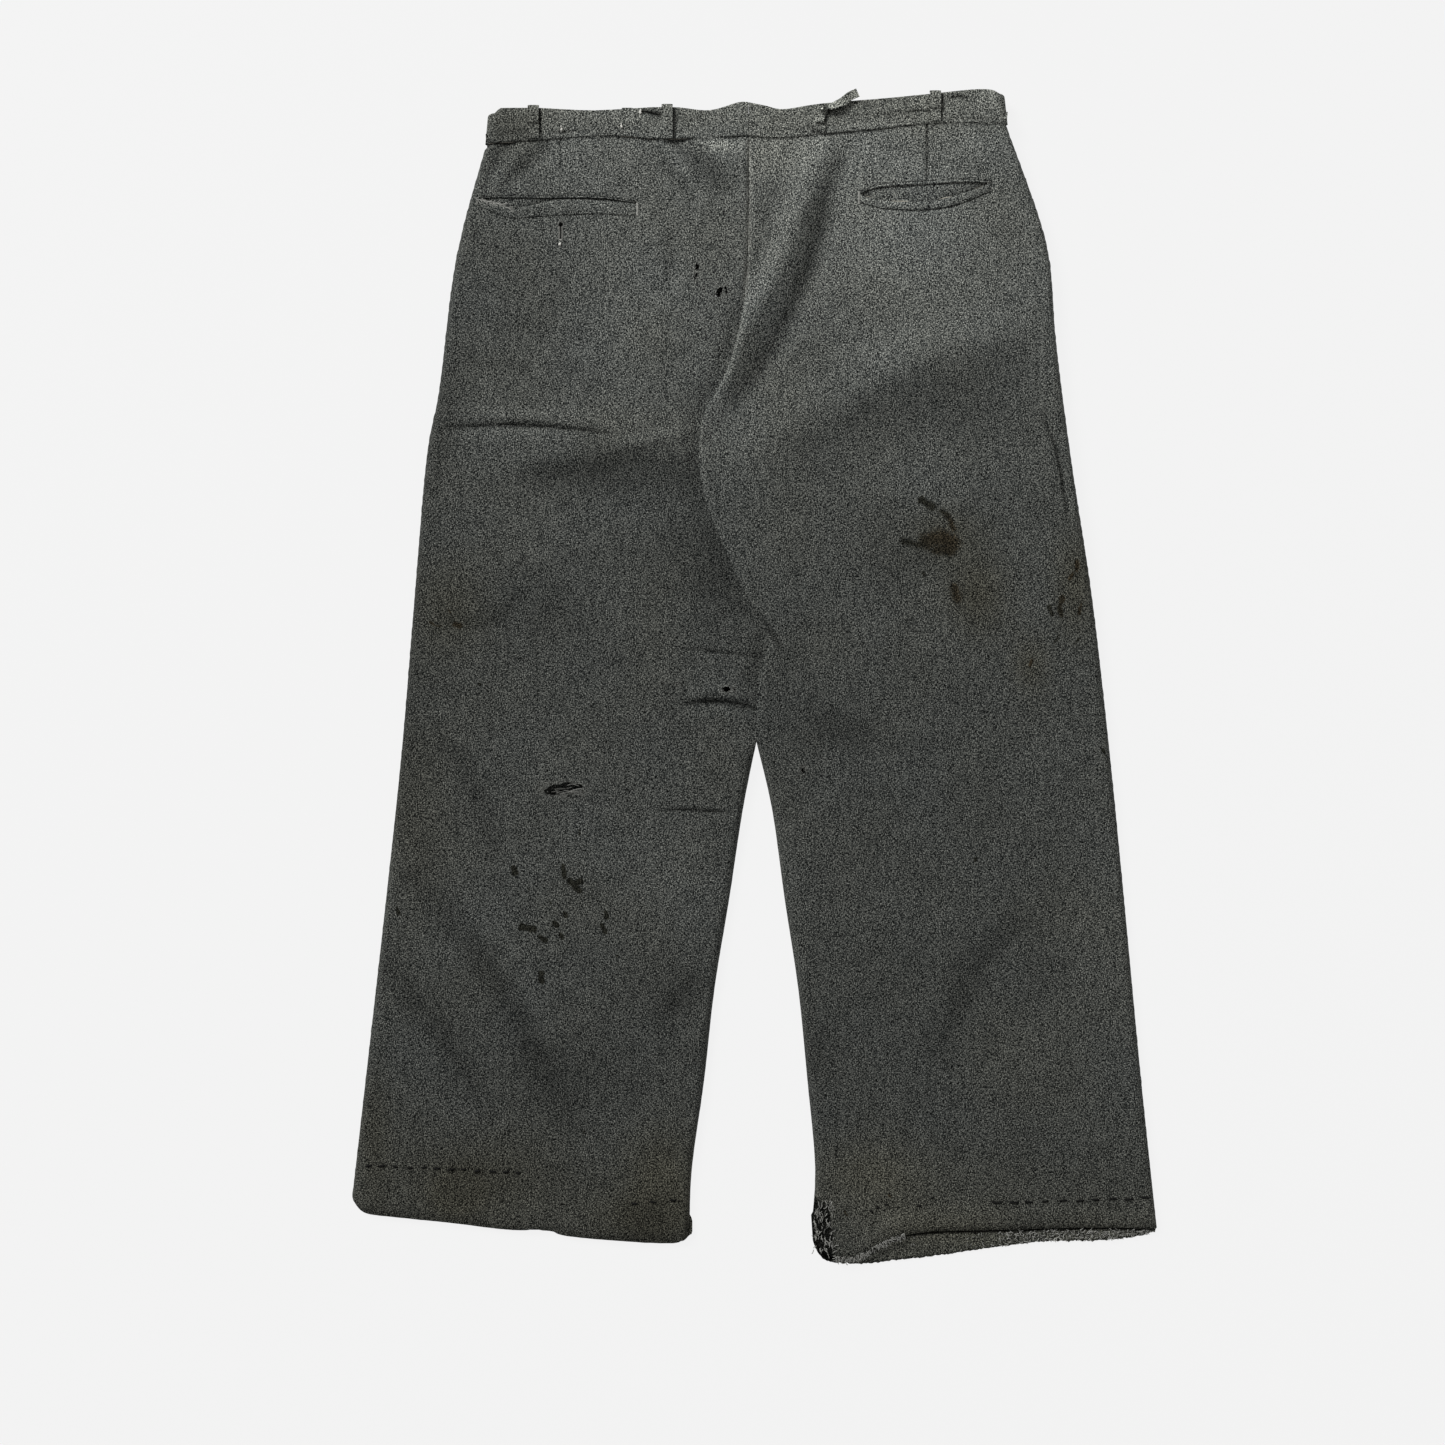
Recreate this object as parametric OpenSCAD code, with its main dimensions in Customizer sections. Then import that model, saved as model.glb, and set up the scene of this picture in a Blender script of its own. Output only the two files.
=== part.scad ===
// Worn work trousers lying flat with the back up.
// X runs to the right, Y from the hems to the waistband, Z up from the floor.
// The wearer's left is on the left. Lengths are in millimetres.

/* [Cloth] */
// Thickness of the trouser cloth, with its nap
cloth_t = 1.2; // [0.8:0.1:1.4]
// Thickness of the waistband, which is two cloths and a canvas
band_t = 2.2; // [1.8:0.1:2.4]
// Thickness of linings and turned-in facings
lining_t = 0.8; // [0.6:0.1:0.9]
// Width of a pressed seam at an edge
seam_w = 2.5; // [2:0.1:3]

/* [How it lies] */
// Height of the back cloth's underside over the seat
seat_gap = 16; // [15.5:0.5:22]
// Height of the back cloth's underside below the knees
hem_gap = 9; // [8:0.5:12]
// Where the back starts to sink towards the knees
slope_top = 230; // [180:5:250]
// Where the legs fold
knee_y = -190; // [-230:5:-150]
// Gap between a thigh and the lower leg that folds
knee_gap = 1; // [0.8:0.1:2]

/* [Back pockets] */
// Width of the left back pocket's mouth
left_mouth_w = 138; // [120:1:140]
// Width of the right back pocket's mouth
right_mouth_w = 124; // [110:1:128]
// Height of the left back pocket's mouth and of the front ones
mouth_h = 6; // [5:0.5:7]
// Height of the right back pocket's mouth, which gapes
gape_h = 12; // [8:0.5:14]
// Height of the welt below a pocket's mouth
welt_h = 10; // [8:0.5:12]
// Depth of a back pocket bag below the mouth
bag_depth = 150; // [130:5:155]
// Room for a hand inside a pocket bag
hand_gap = 4.6; // [4.4:0.1:4.8]

/* [Belt loops] */
// Width of a belt loop
loop_w = 10; // [8:0.5:12]
// Height of a belt loop from foot to foot
loop_h = 27; // [25:0.5:28]
// Room for the belt under a loop
belt_gap = 4.6; // [4.4:0.1:6]
// Thickness of a belt loop
loop_t = 1.2; // [1:0.1:1.5]

/* [Fly] */
// Width of the fly's overlap
fly_w = 42; // [36:1:44]
// Lowest point of the fly's opening
fly_bottom = 308; // [300:1:320]
// Number of buttons on the fly below the waistband
fly_button_count = 4; // [3:1:5]
// Diameter of a fly button
button_d = 15; // [13:0.5:17]

/* [Hems] */
// Depth of the turned-up hems
hem_depth = 44; // [36:1:50]
// Distance from one hem stitch to the next
stitch_pitch = 12.8; // [10:0.2:15]
// Length of a hem stitch
stitch_l = 7; // [5:0.5:8]

/* [Hidden] */

cloth_grey = [0.30, 0.31, 0.29];
worn_grey = [0.36, 0.37, 0.35];
dark_grey = [0.20, 0.20, 0.19];
pocketing = [0.74, 0.70, 0.62];
thread_grey = [0.62, 0.61, 0.57];
button_grey = [0.16, 0.15, 0.14];

// Edges of the cloth as they lie, from the waist down or from the side in
left_side = [[-236, 468], [-262, 370], [-277, 253], [-288, 195], [-299, 68], [-310, -64],
    [-324, -196], [-342, -355], [-354, -460]];
right_side = [[221, 486], [256, 385], [264, 305], [270, 253], [281, 173], [297, 68], [312, -64],
    [325, -196], [340, -355], [354, -487]];
crotch = [2, -57];
left_inner = [crotch, [-10, -117], [-22, -196], [-35, -275], [-44, -355], [-55, -434], [-57, -490]];
right_inner = [crotch, [16, -117], [27, -196], [39, -275], [47, -355], [54, -434], [50, -490]];
left_hem = [[-354, -460], [-344, -471], [-317, -475], [-268, -480], [-218, -486], [-181, -487],
    [-169, -491], [-132, -495], [-71, -498], [-57, -490]];
right_back_hem = [[354, -487], [300, -486], [218, -488], [150, -490], [118, -498], [90, -513],
    [62, -510], [50, -490]];
right_front_hem = [[354, -487], [341, -492], [304, -496], [255, -497], [206, -503], [157, -510],
    [120, -514], [95, -516.5], [62, -513], [50, -490]];
// The right seat rolls over the left one below the seat seam
seat_line = [[-5, 475], [-5, 400], [-9, 330], [-24, 270], [-46, 226], [-46, 167], [-26, 114],
    [-9, 76], [13, 34], [4, 2], crotch];
front_line = [[0, 475], [0, 300], [1, 100], crotch];
left_band_bottom = [[-236, 468], [-190, 471], [-126, 475], [-80, 472], [-5, 475]];
right_band_bottom = [[221, 486], [160, 486], [110, 481], [65, 477], [24, 473], [-5, 475]];
left_front_bottom = [[-236, 468], [-190, 471], [-126, 475], [-80, 473], [0, 475]];
right_front_bottom = [[221, 486], [160, 486], [110, 481], [65, 477], [24, 474], [0, 475]];
left_band_top = [[-224, 500], [-190, 500], [-140, 498], [-76, 501], [-40, 498], [-14, 505], [-5, 505]];
right_band_top = [[220, 508], [212, 515], [196, 516.5], [160, 513], [120, 509], [60, 504], [26, 499],
    [10, 502], [-5, 505]];
left_band_end = [[-236, 468], [-237, 483], [-224, 500]];
right_band_end = [[221, 486], [225, 498], [220, 508]];

reach = 600;            // longer than any half of the trousers
clearance = 0.4;        // between two bodies
touch = 0.01;           // what a cutting tool reaches past a face
hem_y = -540;           // past the lowest hem
waist_y = 540;          // past the waistband

// Heights that follow from the layers
band_z = cloth_t;                       // underside of the front waistband
band_top = band_z + band_t;
bag_t = 0.7;
bag_h = hand_gap + 2 * bag_t;
bag_gap = 0.06;         // between the sewn pieces of a pocket bag
shield_z = band_top + 2.7;
button_z = cloth_t + lining_t + 0.4;
loop_z = seat_gap + band_t;             // upper face of the back waistband
fold_z = hem_gap + cloth_t + 4.3;       // height of the knee fold's axis
fly_edge = 3.7;                         // free edge of the fly's overlap
fly_hinge_x = fly_edge - fly_w;         // stitch line that it turns about

// Middle of each back pocket's mouth and how it is turned
left_mouth = [-172.5, 418];
right_mouth = [154, 427.5];
right_mouth_turn = 4;
// Middle of each front pocket's mouth and how it is turned
front_mouth_l = 160;
front_mouth_turn = 19;
left_front_mouth = [-233, 388];
right_front_mouth = [226, 391];

// A smooth line through the stations p, in n steps from one to the next
function bend(a, b, c, d, t) = (2 * b + (c - a) * t + (2 * a - 5 * b + 4 * c - d) * t * t
    + (3 * b - a - 3 * c + d) * t * t * t) / 2;
function smooth(p, n = 4) = concat([for (i = [0 : len(p) - 2], k = [0 : n - 1])
    bend(p[max(i - 1, 0)], p[i], p[i + 1], p[min(i + 2, len(p) - 1)], k / n)], [p[len(p) - 1]]);
function turned(p) = [for (i = [len(p) - 1 : -1 : 0]) p[i]];
function rest(p) = [for (i = [1 : len(p) - 1]) p[i]];
function inner(p) = [for (i = [1 : len(p) - 2]) p[i]];
function moved(p, dx) = [for (q = p) [q[0] + dx, q[1]]];
// Outline of a whole panel: side, hem, inner leg, rise and waist seam
function panel(side, hem, leg, rise, waist) = concat(smooth(side), rest(smooth(hem)),
    rest(turned(smooth(leg))), rest(turned(smooth(rise))), inner(turned(smooth(waist))));
function band(end, bottom, top) = concat(smooth(bottom), turned(smooth(top)), inner(turned(smooth(end))));
function strip(edge, near, far) = concat(moved(smooth(edge), near), turned(moved(smooth(edge), far)));
// Height of the back cloth's underside
function back_profile(dz) = [[hem_y, hem_gap + dz], [knee_y, hem_gap + dz],
    [slope_top, seat_gap + dz], [waist_y, seat_gap + dz]];

left_back = panel(left_side, left_hem, left_inner, seat_line, left_band_bottom);
right_back = panel(right_side, right_back_hem, right_inner, seat_line, right_band_bottom);
left_front = panel(left_side, left_hem, left_inner, front_line, left_front_bottom);
right_front = panel(right_side, right_front_hem, right_inner, front_line, right_front_bottom);
left_band = band(left_band_end, left_band_bottom, left_band_top);
right_band = band(right_band_end, right_band_bottom, right_band_top);

// A layer that follows the back, from z0 to z1 above its underside
module back_layer(z0, z1) {
    translate([-reach, 0, 0]) rotate([90, 0, 90]) linear_extrude(2 * reach)
        polygon(concat(back_profile(z0), turned(back_profile(z1))));
}
// All the room between height z and the underside of the back
module room_above(z) {
    translate([-reach, 0, 0]) rotate([90, 0, 90]) linear_extrude(2 * reach)
        polygon(concat([[hem_y, z]], back_profile(0), [[waist_y, z]]));
}
module prism(outline) {
    linear_extrude(seat_gap + 10) polygon(outline);
}
module thigh_side() {
    translate([-reach, knee_y, -1]) cube([2 * reach, reach + waist_y, 60]);
}
module lower_side() {
    translate([-reach, hem_y, -1]) cube([2 * reach, knee_y - knee_gap - hem_y, 60]);
}
module back_cloth(outline) {
    intersection() {
        prism(outline);
        back_layer(0, cloth_t);
    }
}
module front_cloth(outline) {
    linear_extrude(cloth_t) polygon(outline);
}
// A pressed seam that joins front and back along an edge
module edge_seam(edge, width) {
    intersection() {
        prism(strip(edge, 0, width));
        room_above(cloth_t);
    }
}
module mouth_cut(middle, width, height, turn) {
    translate([middle[0], middle[1], seat_gap - bag_h - 1]) rotate([0, 0, turn])
        translate([-width / 2, -height / 2, 0]) cube([width, height, bag_h + 10]);
}
module front_mouth_cut(middle, side) {
    translate([middle[0], middle[1], -1]) rotate([0, 0, -side * front_mouth_turn])
        translate([-mouth_h / 2, -front_mouth_l / 2, 0]) cube([mouth_h, front_mouth_l, cloth_t + bag_t + 1.5]);
}
module buttonhole(x, y, z, length) {
    translate([x - 0.7, y - length, z]) cube([1.4, length, 10]);
}

module left_back_panel() {
    color(worn_grey) difference() {
        intersection() {
            back_cloth(left_back);
            thigh_side();
        }
        mouth_cut(left_mouth, left_mouth_w, mouth_h, 0);
        buttonhole(-170, 397, seat_gap - 1, 13);
    }
}
module right_back_panel() {
    color(worn_grey) difference() {
        intersection() {
            back_cloth(right_back);
            thigh_side();
        }
        mouth_cut(right_mouth, right_mouth_w, gape_h, right_mouth_turn);
    }
}
module left_front_panel() {
    color(cloth_grey) difference() {
        intersection() {
            front_cloth(left_front);
            thigh_side();
        }
        translate([fly_hinge_x - clearance, fly_bottom - clearance, -1]) cube([fly_w + 10, 200, 10]);
        front_mouth_cut(left_front_mouth, 1);
    }
}
module right_front_panel() {
    color(cloth_grey) difference() {
        intersection() {
            front_cloth(right_front);
            thigh_side();
        }
        translate([-10, fly_bottom - clearance, -1]) cube([fly_edge + 1 + 10, 200, 10]);
        front_mouth_cut(right_front_mouth, -1);
    }
}
module left_outseam() {
    color(dark_grey) intersection() {
        edge_seam(left_side, seam_w);
        thigh_side();
    }
}
module right_outseam() {
    color(dark_grey) intersection() {
        edge_seam(right_side, -seam_w);
        thigh_side();
    }
}
module left_inseam() {
    color(dark_grey) intersection() {
        edge_seam(left_inner, -seam_w);
        thigh_side();
    }
}
module right_inseam() {
    color(dark_grey) intersection() {
        edge_seam(right_inner, seam_w);
        thigh_side();
    }
}
// The turned-in edges of the seat seam, pressed open under the back
module seat_seam() {
    color(dark_grey) intersection() {
        prism(strip(seat_line, -9, 9));
        back_layer(-lining_t, 0);
        translate([-reach, 0, -1]) cube([2 * reach, 470, 60]);
    }
}
module front_rise_seam() {
    color(dark_grey) translate([-9, -40, cloth_t]) cube([18, fly_bottom - 4 + 40, lining_t]);
}
module band_half(outline, end, inwards, front_from, front_to) {
    intersection() {
        prism(outline);
        back_layer(0, band_t);
    }
    translate([0, 0, band_z]) intersection() {
        linear_extrude(band_t) polygon(outline);
        translate([front_from, 400, -1]) cube([front_to - front_from, 200, 10]);
    }
    intersection() {
        prism(strip(end, 0, inwards));
        room_above(band_z);
    }
}
module left_waistband() {
    color(cloth_grey) band_half(left_band, left_band_end, seam_w, -reach, fly_hinge_x - clearance);
}
module right_waistband() {
    color(cloth_grey) band_half(right_band, right_band_end, -seam_w, fly_edge + 1, reach);
}
module lining_half(outline, end, inwards, front_from, front_to) {
    difference() {
        union() {
            intersection() {
                prism(outline);
                back_layer(-lining_t, 0);
            }
            translate([0, 0, band_top]) intersection() {
                linear_extrude(lining_t) polygon(outline);
                translate([front_from, 400, -1]) cube([front_to - front_from, 200, 10]);
            }
            intersection() {
                prism(strip(end, inwards, inwards * (1 + lining_t / seam_w)));
                room_above(band_top);
            }
        }
        prism(strip(end, -inwards, inwards));
    }
}
module left_waistband_lining() {
    color(pocketing) lining_half(left_band, left_band_end, seam_w, -reach, fly_hinge_x - clearance);
}
module right_waistband_lining() {
    color(pocketing) lining_half(right_band, right_band_end, -seam_w, 36, reach);
}
// A belt loop that stands over the waistband on two sewn feet
module belt_loop(x, y, turn) {
    color(cloth_grey) translate([x, y, loop_z]) rotate([0, 0, turn]) translate([-loop_w / 2, 0, 0])
        rotate([90, 0, 90]) linear_extrude(loop_w) polygon([
            [-loop_h / 2, 0], [loop_t - loop_h / 2, 0], [loop_t - loop_h / 2, belt_gap],
            [loop_h / 2 - loop_t, belt_gap], [loop_h / 2 - loop_t, 0], [loop_h / 2, 0],
            [loop_h / 2, belt_gap + 0.2], [loop_h / 2 - 1, belt_gap + loop_t],
            [1 - loop_h / 2, belt_gap + loop_t], [-loop_h / 2, belt_gap + 0.2]]);
}
module back_left_outer_loop() {
    belt_loop(-194, 486, 1);
}
module back_left_inner_loop() {
    belt_loop(-76.5, 486.5, 0);
}
module back_right_outer_loop() {
    belt_loop(159, 499.5, 3);
}
// A front loop lies pressed flat between the waistband and the floor
module flat_loop(x, y, turn) {
    color(cloth_grey) translate([x, y, 0.1]) rotate([0, 0, turn])
        translate([-loop_w / 2, -loop_h / 2, 0]) cube([loop_w, loop_h - 2, band_z - 0.1]);
}
module front_left_loop() {
    flat_loop(-112, 489, 0);
}
module front_right_loop() {
    flat_loop(112, 496.5, 3);
}
// The sewn foot that is left of the torn loop
module torn_loop_stub() {
    color(dark_grey) translate([52, 479, loop_z]) cube([loop_w, 5.5, 1]);
}
torn_path = [[57, 485.2], [60, 493], [67, 500], [79, 506], [90, 510.5]];
torn_w = 8;
module torn_loop() {
    path = smooth(torn_path);
    last = len(path) - 1;
    normals = [for (i = [0 : last]) let (d = path[min(i + 1, last)] - path[max(i - 1, 0)])
        [-d[1], d[0]] / norm(d) * torn_w / 2];
    color(cloth_grey) translate([0, 0, loop_z + clearance]) intersection() {
        linear_extrude(1) polygon(concat([for (i = [0 : last]) path[i] + normals[i]],
            [for (i = [last : -1 : 0]) path[i] - normals[i]]));
        translate([0, torn_path[0][1], -1]) cube([200, 100, 10]);
    }
}
module dart(x, y0, y1) {
    color(dark_grey) translate([x - 2, y0, seat_gap - 1]) cube([4, y1 - y0, 1]);
}
module left_back_dart() {
    dart(-170, 430, 470);
}
module right_back_dart() {
    dart(152, 443, 483);
}
module welt(middle, width, height, turn) {
    color(cloth_grey) translate([middle[0], middle[1], seat_gap + cloth_t]) rotate([0, 0, turn])
        translate([-width / 2, -height / 2 - welt_h, 0]) cube([width, welt_h, 0.9]);
}
module left_back_pocket_welt() {
    welt(left_mouth, left_mouth_w, mouth_h, 0);
}
module right_back_pocket_welt() {
    welt(right_mouth, right_mouth_w, gape_h, right_mouth_turn);
}
// One flat or upright piece of pocketing from corner a to corner b, clear of the pieces it is sewn to
module bag_piece(a, b) {
    translate(a + [bag_gap, bag_gap, bag_gap] / 2) cube(b - a - [bag_gap, bag_gap, bag_gap]);
}
// A pocket bag of two cloths with room for a hand, open at the mouth
module back_bag(middle, width, height, turn) {
    side = width / 2 + 3;
    top = height / 2 + 4;
    color(pocketing) translate([middle[0], middle[1], seat_gap - bag_h]) rotate([0, 0, turn]) {
        bag_piece([-side, -bag_depth, 0], [side, top, bag_t]);
        bag_piece([-side, -bag_depth, bag_h - bag_t], [side, -height / 2, bag_h]);
        bag_piece([-side, height / 2, bag_h - bag_t], [side, top, bag_h]);
        bag_piece([-side, -bag_depth, bag_t], [side, bag_t - bag_depth, bag_h - bag_t]);
        bag_piece([-side, top - bag_t, bag_t], [side, top, bag_h - bag_t]);
        for (x = [-side, side - bag_t])
            bag_piece([x, bag_t - bag_depth, bag_t], [x + bag_t, top - bag_t, bag_h - bag_t]);
        for (x = [-side, width / 2])
            bag_piece([x, -height / 2, bag_h - bag_t], [x + 3, height / 2, bag_h]);
    }
}
module left_back_pocket_bag() {
    back_bag(left_mouth, left_mouth_w, mouth_h, 0);
}
module right_back_pocket_bag() {
    back_bag(right_mouth, right_mouth_w, gape_h, right_mouth_turn);
}
// A strip of trouser cloth that shows through the mouth, sewn to the bag
module facing(middle, width, turn) {
    color(cloth_grey) translate([middle[0], middle[1], seat_gap - bag_h + bag_t]) rotate([0, 0, turn])
        translate([-width / 2 + 2, -24, 0]) cube([width - 4, 30, 0.3]);
}
module left_back_pocket_facing() {
    facing(left_mouth, left_mouth_w, 0);
}
module right_back_pocket_facing() {
    facing(right_mouth, right_mouth_w, right_mouth_turn);
}
module button(d, h) {
    difference() {
        cylinder(d = d, h = h, $fn = 48);
        translate([0, 0, -touch]) cylinder(d = d - 5, h = 0.5, $fn = 48);
    }
}
module back_pocket_button() {
    color(button_grey) translate([-170, 398, seat_gap - bag_h + bag_t + 0.3]) mirror([0, 0, 1])
        translate([0, 0, -2.2]) button(14, 2.2);
}
// Outline of a front pocket bag, for the wearer's left
bag_outline = [[-214, 464], [-120, 464], [-108, 330], [-118, 262], [-150, 240], [-232, 240],
    [-262, 258], [-265, 318]];
bag_middle = [-185, 350];
function mirrored(p) = [for (q = p) [-q[0] - 7, q[1] + 3]];
function shrunk(p, by) = [for (q = p) q - (q - bag_middle) / norm(q - bag_middle) * by];
// Everything on one side of a front pocket's mouth, which is given by its edge away from the middle
module beside_mouth(middle, side, x) {
    translate([middle[0], middle[1], -1]) rotate([0, 0, -side * front_mouth_turn])
        translate([x > 0 ? x : x - reach, -reach, 0]) cube([reach, 2 * reach, 30]);
}
module front_bag(side) {
    outer = side > 0 ? bag_outline : mirrored(bag_outline);
    hollow = side > 0 ? shrunk(bag_outline, bag_t) : mirrored(shrunk(bag_outline, bag_t));
    middle = side > 0 ? left_front_mouth : right_front_mouth;
    last = len(outer) - 1;
    color(pocketing) {
        translate([0, 0, cloth_t + bag_h - bag_t]) linear_extrude(bag_t) polygon(outer);
        for (x = [-mouth_h / 2, mouth_h / 2]) intersection() {
            translate([0, 0, cloth_t]) linear_extrude(bag_t) polygon(outer);
            beside_mouth(middle, side, x);
        }
        for (i = [0 : last]) let (k = (i + 1) % (last + 1), along = (outer[k] - outer[i]) * bag_gap / 100)
            translate([0, 0, cloth_t + bag_t + bag_gap]) linear_extrude(hand_gap - 2 * bag_gap)
                polygon([outer[i] + along, outer[k] - along, hollow[k] - along, hollow[i] + along]);
    }
}
module left_front_pocket_bag() {
    front_bag(1);
}
module right_front_pocket_bag() {
    front_bag(-1);
}
// The turned edge that stiffens a front pocket's mouth, inside the bag
module front_edge(middle, side) {
    color(cloth_grey) translate([middle[0], middle[1], cloth_t + bag_t]) rotate([0, 0, -side * front_mouth_turn])
        translate([side > 0 ? mouth_h / 2 + 1 : -mouth_h / 2 - 9, 12 - front_mouth_l / 2, 0])
            cube([8, front_mouth_l - 30, 0.4]);
}
module left_front_pocket_edge() {
    front_edge(left_front_mouth, 1);
}
module right_front_pocket_edge() {
    front_edge(right_front_mouth, -1);
}
// The left front laps over the right one and hides the buttons
module fly_overlap() {
    color(cloth_grey) linear_extrude(cloth_t) polygon([[fly_hinge_x, 472], [fly_hinge_x, fly_bottom + 40],
        [fly_hinge_x + 12, fly_bottom + 12], [fly_hinge_x + 30, fly_bottom], [fly_edge, fly_bottom],
        [fly_edge, 472]]);
}
module waistband_tab() {
    color(cloth_grey) difference() {
        translate([fly_hinge_x, 473, band_z]) cube([fly_w, 25, band_t]);
        translate([-17, 484.6, 0]) cube([18, 1.4, 10]);
    }
}
fly_button_y = [for (i = [1 : fly_button_count]) 472 - i * 150 / (fly_button_count + 0.5)];
module fly_buttonhole_facing() {
    color(dark_grey) difference() {
        translate([fly_hinge_x + 6, fly_bottom + 16, cloth_t]) cube([fly_w - 8, 146, lining_t]);
        for (y = fly_button_y) translate([-17, y - 0.7, 0]) cube([15, 1.4, 10]);
    }
}
// The under part of the fly, which carries the buttons
module fly_shield() {
    color(dark_grey) {
        translate([-26, fly_bottom - 2, shield_z]) cube([58, 497 - fly_bottom, cloth_t]);
        translate([30, fly_bottom - 2, cloth_t]) cube([2, 472 - fly_bottom, shield_z - cloth_t]);
        translate([30, 475, band_top]) cube([2, 20, shield_z - band_top]);
    }
}
module sewn_button(x, y, z, d, h) {
    translate([x, y, z]) button(d, h);
    translate([x, y, z + h]) cylinder(d = 3, h = shield_z - z - h, $fn = 24);
}
module fly_buttons() {
    color(button_grey) for (y = fly_button_y) sewn_button(-9, y, button_z, button_d, 2.4);
}
module waist_button() {
    color(button_grey) sewn_button(-9, 485.3, band_top + 0.3, button_d + 2, 1.9);
}
module lower_back(outline) {
    color(cloth_grey) intersection() {
        back_cloth(outline);
        lower_side();
    }
}
module left_lower_back_panel() {
    lower_back(left_back);
}
module right_lower_back_panel() {
    lower_back(right_back);
}
module lower_front(outline) {
    color(cloth_grey) intersection() {
        front_cloth(outline);
        lower_side();
    }
}
module left_lower_front_panel() {
    lower_front(left_front);
}
module right_lower_front_panel() {
    lower_front(right_front);
}
module lower_seam(edge, width) {
    color(dark_grey) intersection() {
        edge_seam(edge, width);
        lower_side();
    }
}
module left_lower_outseam() {
    lower_seam(left_side, seam_w);
}
module right_lower_outseam() {
    lower_seam(right_side, -seam_w);
}
module left_lower_inseam() {
    lower_seam(left_inner, -seam_w);
}
module right_lower_inseam() {
    lower_seam(right_inner, seam_w);
}
// Cloth turned up inside the hem, a flat tube between the four seams
function hem_outline(side, leg, hem, inset) = concat(
    moved(smooth(side), inset), inner(smooth(hem)), turned(moved(smooth(leg), -inset)));
module hem_tube(side, leg, hem, sign, top) {
    color(dark_grey) intersection() {
        difference() {
            prism(hem_outline(side, leg, hem, sign * (seam_w + 0.1)));
            translate([0, 0, cloth_t + lining_t]) linear_extrude(hem_gap - cloth_t - 2 * lining_t)
                polygon(concat(moved(smooth(side), sign * (seam_w + 1.1)),
                    [[side[len(side) - 1][0], hem_y], [leg[len(leg) - 1][0], hem_y]],
                    turned(moved(smooth(leg), -sign * (seam_w + 1.1)))));
        }
        room_above(cloth_t);
        translate([-reach, hem_y, -1]) cube([2 * reach, top - hem_y, 60]);
    }
}
module left_hem_facing() {
    hem_tube(left_side, left_inner, left_hem, 1, -484 + hem_depth);
}
module right_hem_facing() {
    hem_tube(right_side, right_inner, right_back_hem, -1, -488 + hem_depth);
}
module stitch(x, y) {
    translate([x - stitch_l / 2, y, hem_gap + cloth_t]) cube([stitch_l, 0.9, 0.5]);
}
module left_hem_stitches() {
    color(button_grey) {
        for (i = [0 : 9]) stitch(-336 + i * stitch_pitch, -430 - i * 0.7);
        for (i = [0 : 2]) stitch(-102 + i * 15, -461 + i);
    }
}
module right_hem_stitches() {
    color(button_grey) {
        for (i = [0 : 9]) stitch(217 + i * (stitch_pitch + 1.2), -464 + i * 0.5);
        for (i = [0 : 1]) stitch(80 + i * 66, -470);
    }
}
module tack(x, y, turn) {
    translate([x, y, seat_gap + cloth_t]) rotate([0, 0, turn]) translate([-0.9, -welt_h / 2, 0])
        cube([1.8, welt_h + 1, 0.6]);
}
module pocket_bar_tacks() {
    turn = right_mouth_turn;
    color(thread_grey) {
        for (s = [-1, 1]) tack(left_mouth[0] + s * (left_mouth_w / 2 + 1.2), left_mouth[1] - 7, 0);
        for (s = [-1, 1]) translate([right_mouth[0], right_mouth[1], 0]) rotate([0, 0, turn])
            tack(s * (right_mouth_w / 2 + 1.2), -7, 0);
    }
}
module brace_button_threads() {
    color(thread_grey) for (x = [-169, -117]) translate([x, 482, loop_z]) cylinder(d = 2.4, h = 1.4, $fn = 24);
}

left_back_panel();
right_back_panel();
left_front_panel();
right_front_panel();
left_outseam();
right_outseam();
left_inseam();
right_inseam();
seat_seam();
front_rise_seam();
left_waistband();
right_waistband();
left_waistband_lining();
right_waistband_lining();
back_left_outer_loop();
back_left_inner_loop();
back_right_outer_loop();
front_left_loop();
front_right_loop();
torn_loop_stub();
torn_loop();
left_back_dart();
right_back_dart();
left_back_pocket_welt();
right_back_pocket_welt();
left_back_pocket_bag();
right_back_pocket_bag();
left_back_pocket_facing();
right_back_pocket_facing();
back_pocket_button();
left_front_pocket_bag();
right_front_pocket_bag();
left_front_pocket_edge();
right_front_pocket_edge();
fly_overlap();
waistband_tab();
fly_buttonhole_facing();
fly_shield();
fly_buttons();
waist_button();
left_lower_back_panel();
right_lower_back_panel();
left_lower_front_panel();
right_lower_front_panel();
left_lower_outseam();
right_lower_outseam();
left_lower_inseam();
right_lower_inseam();
left_hem_facing();
right_hem_facing();
left_hem_stitches();
right_hem_stitches();
pocket_bar_tacks();
brace_button_threads();
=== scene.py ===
"""Worn work trousers lying flat with the back up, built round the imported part.

Shapes are worked out in millimetres in the part's own frame: X to the right, Y from the hems to the
waistband, Z up from the floor. They become metres when a mesh is made.
"""

import math
import random

import bpy
import numpy as np
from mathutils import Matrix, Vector, geometry, noise
from mathutils.kdtree import KDTree


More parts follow.
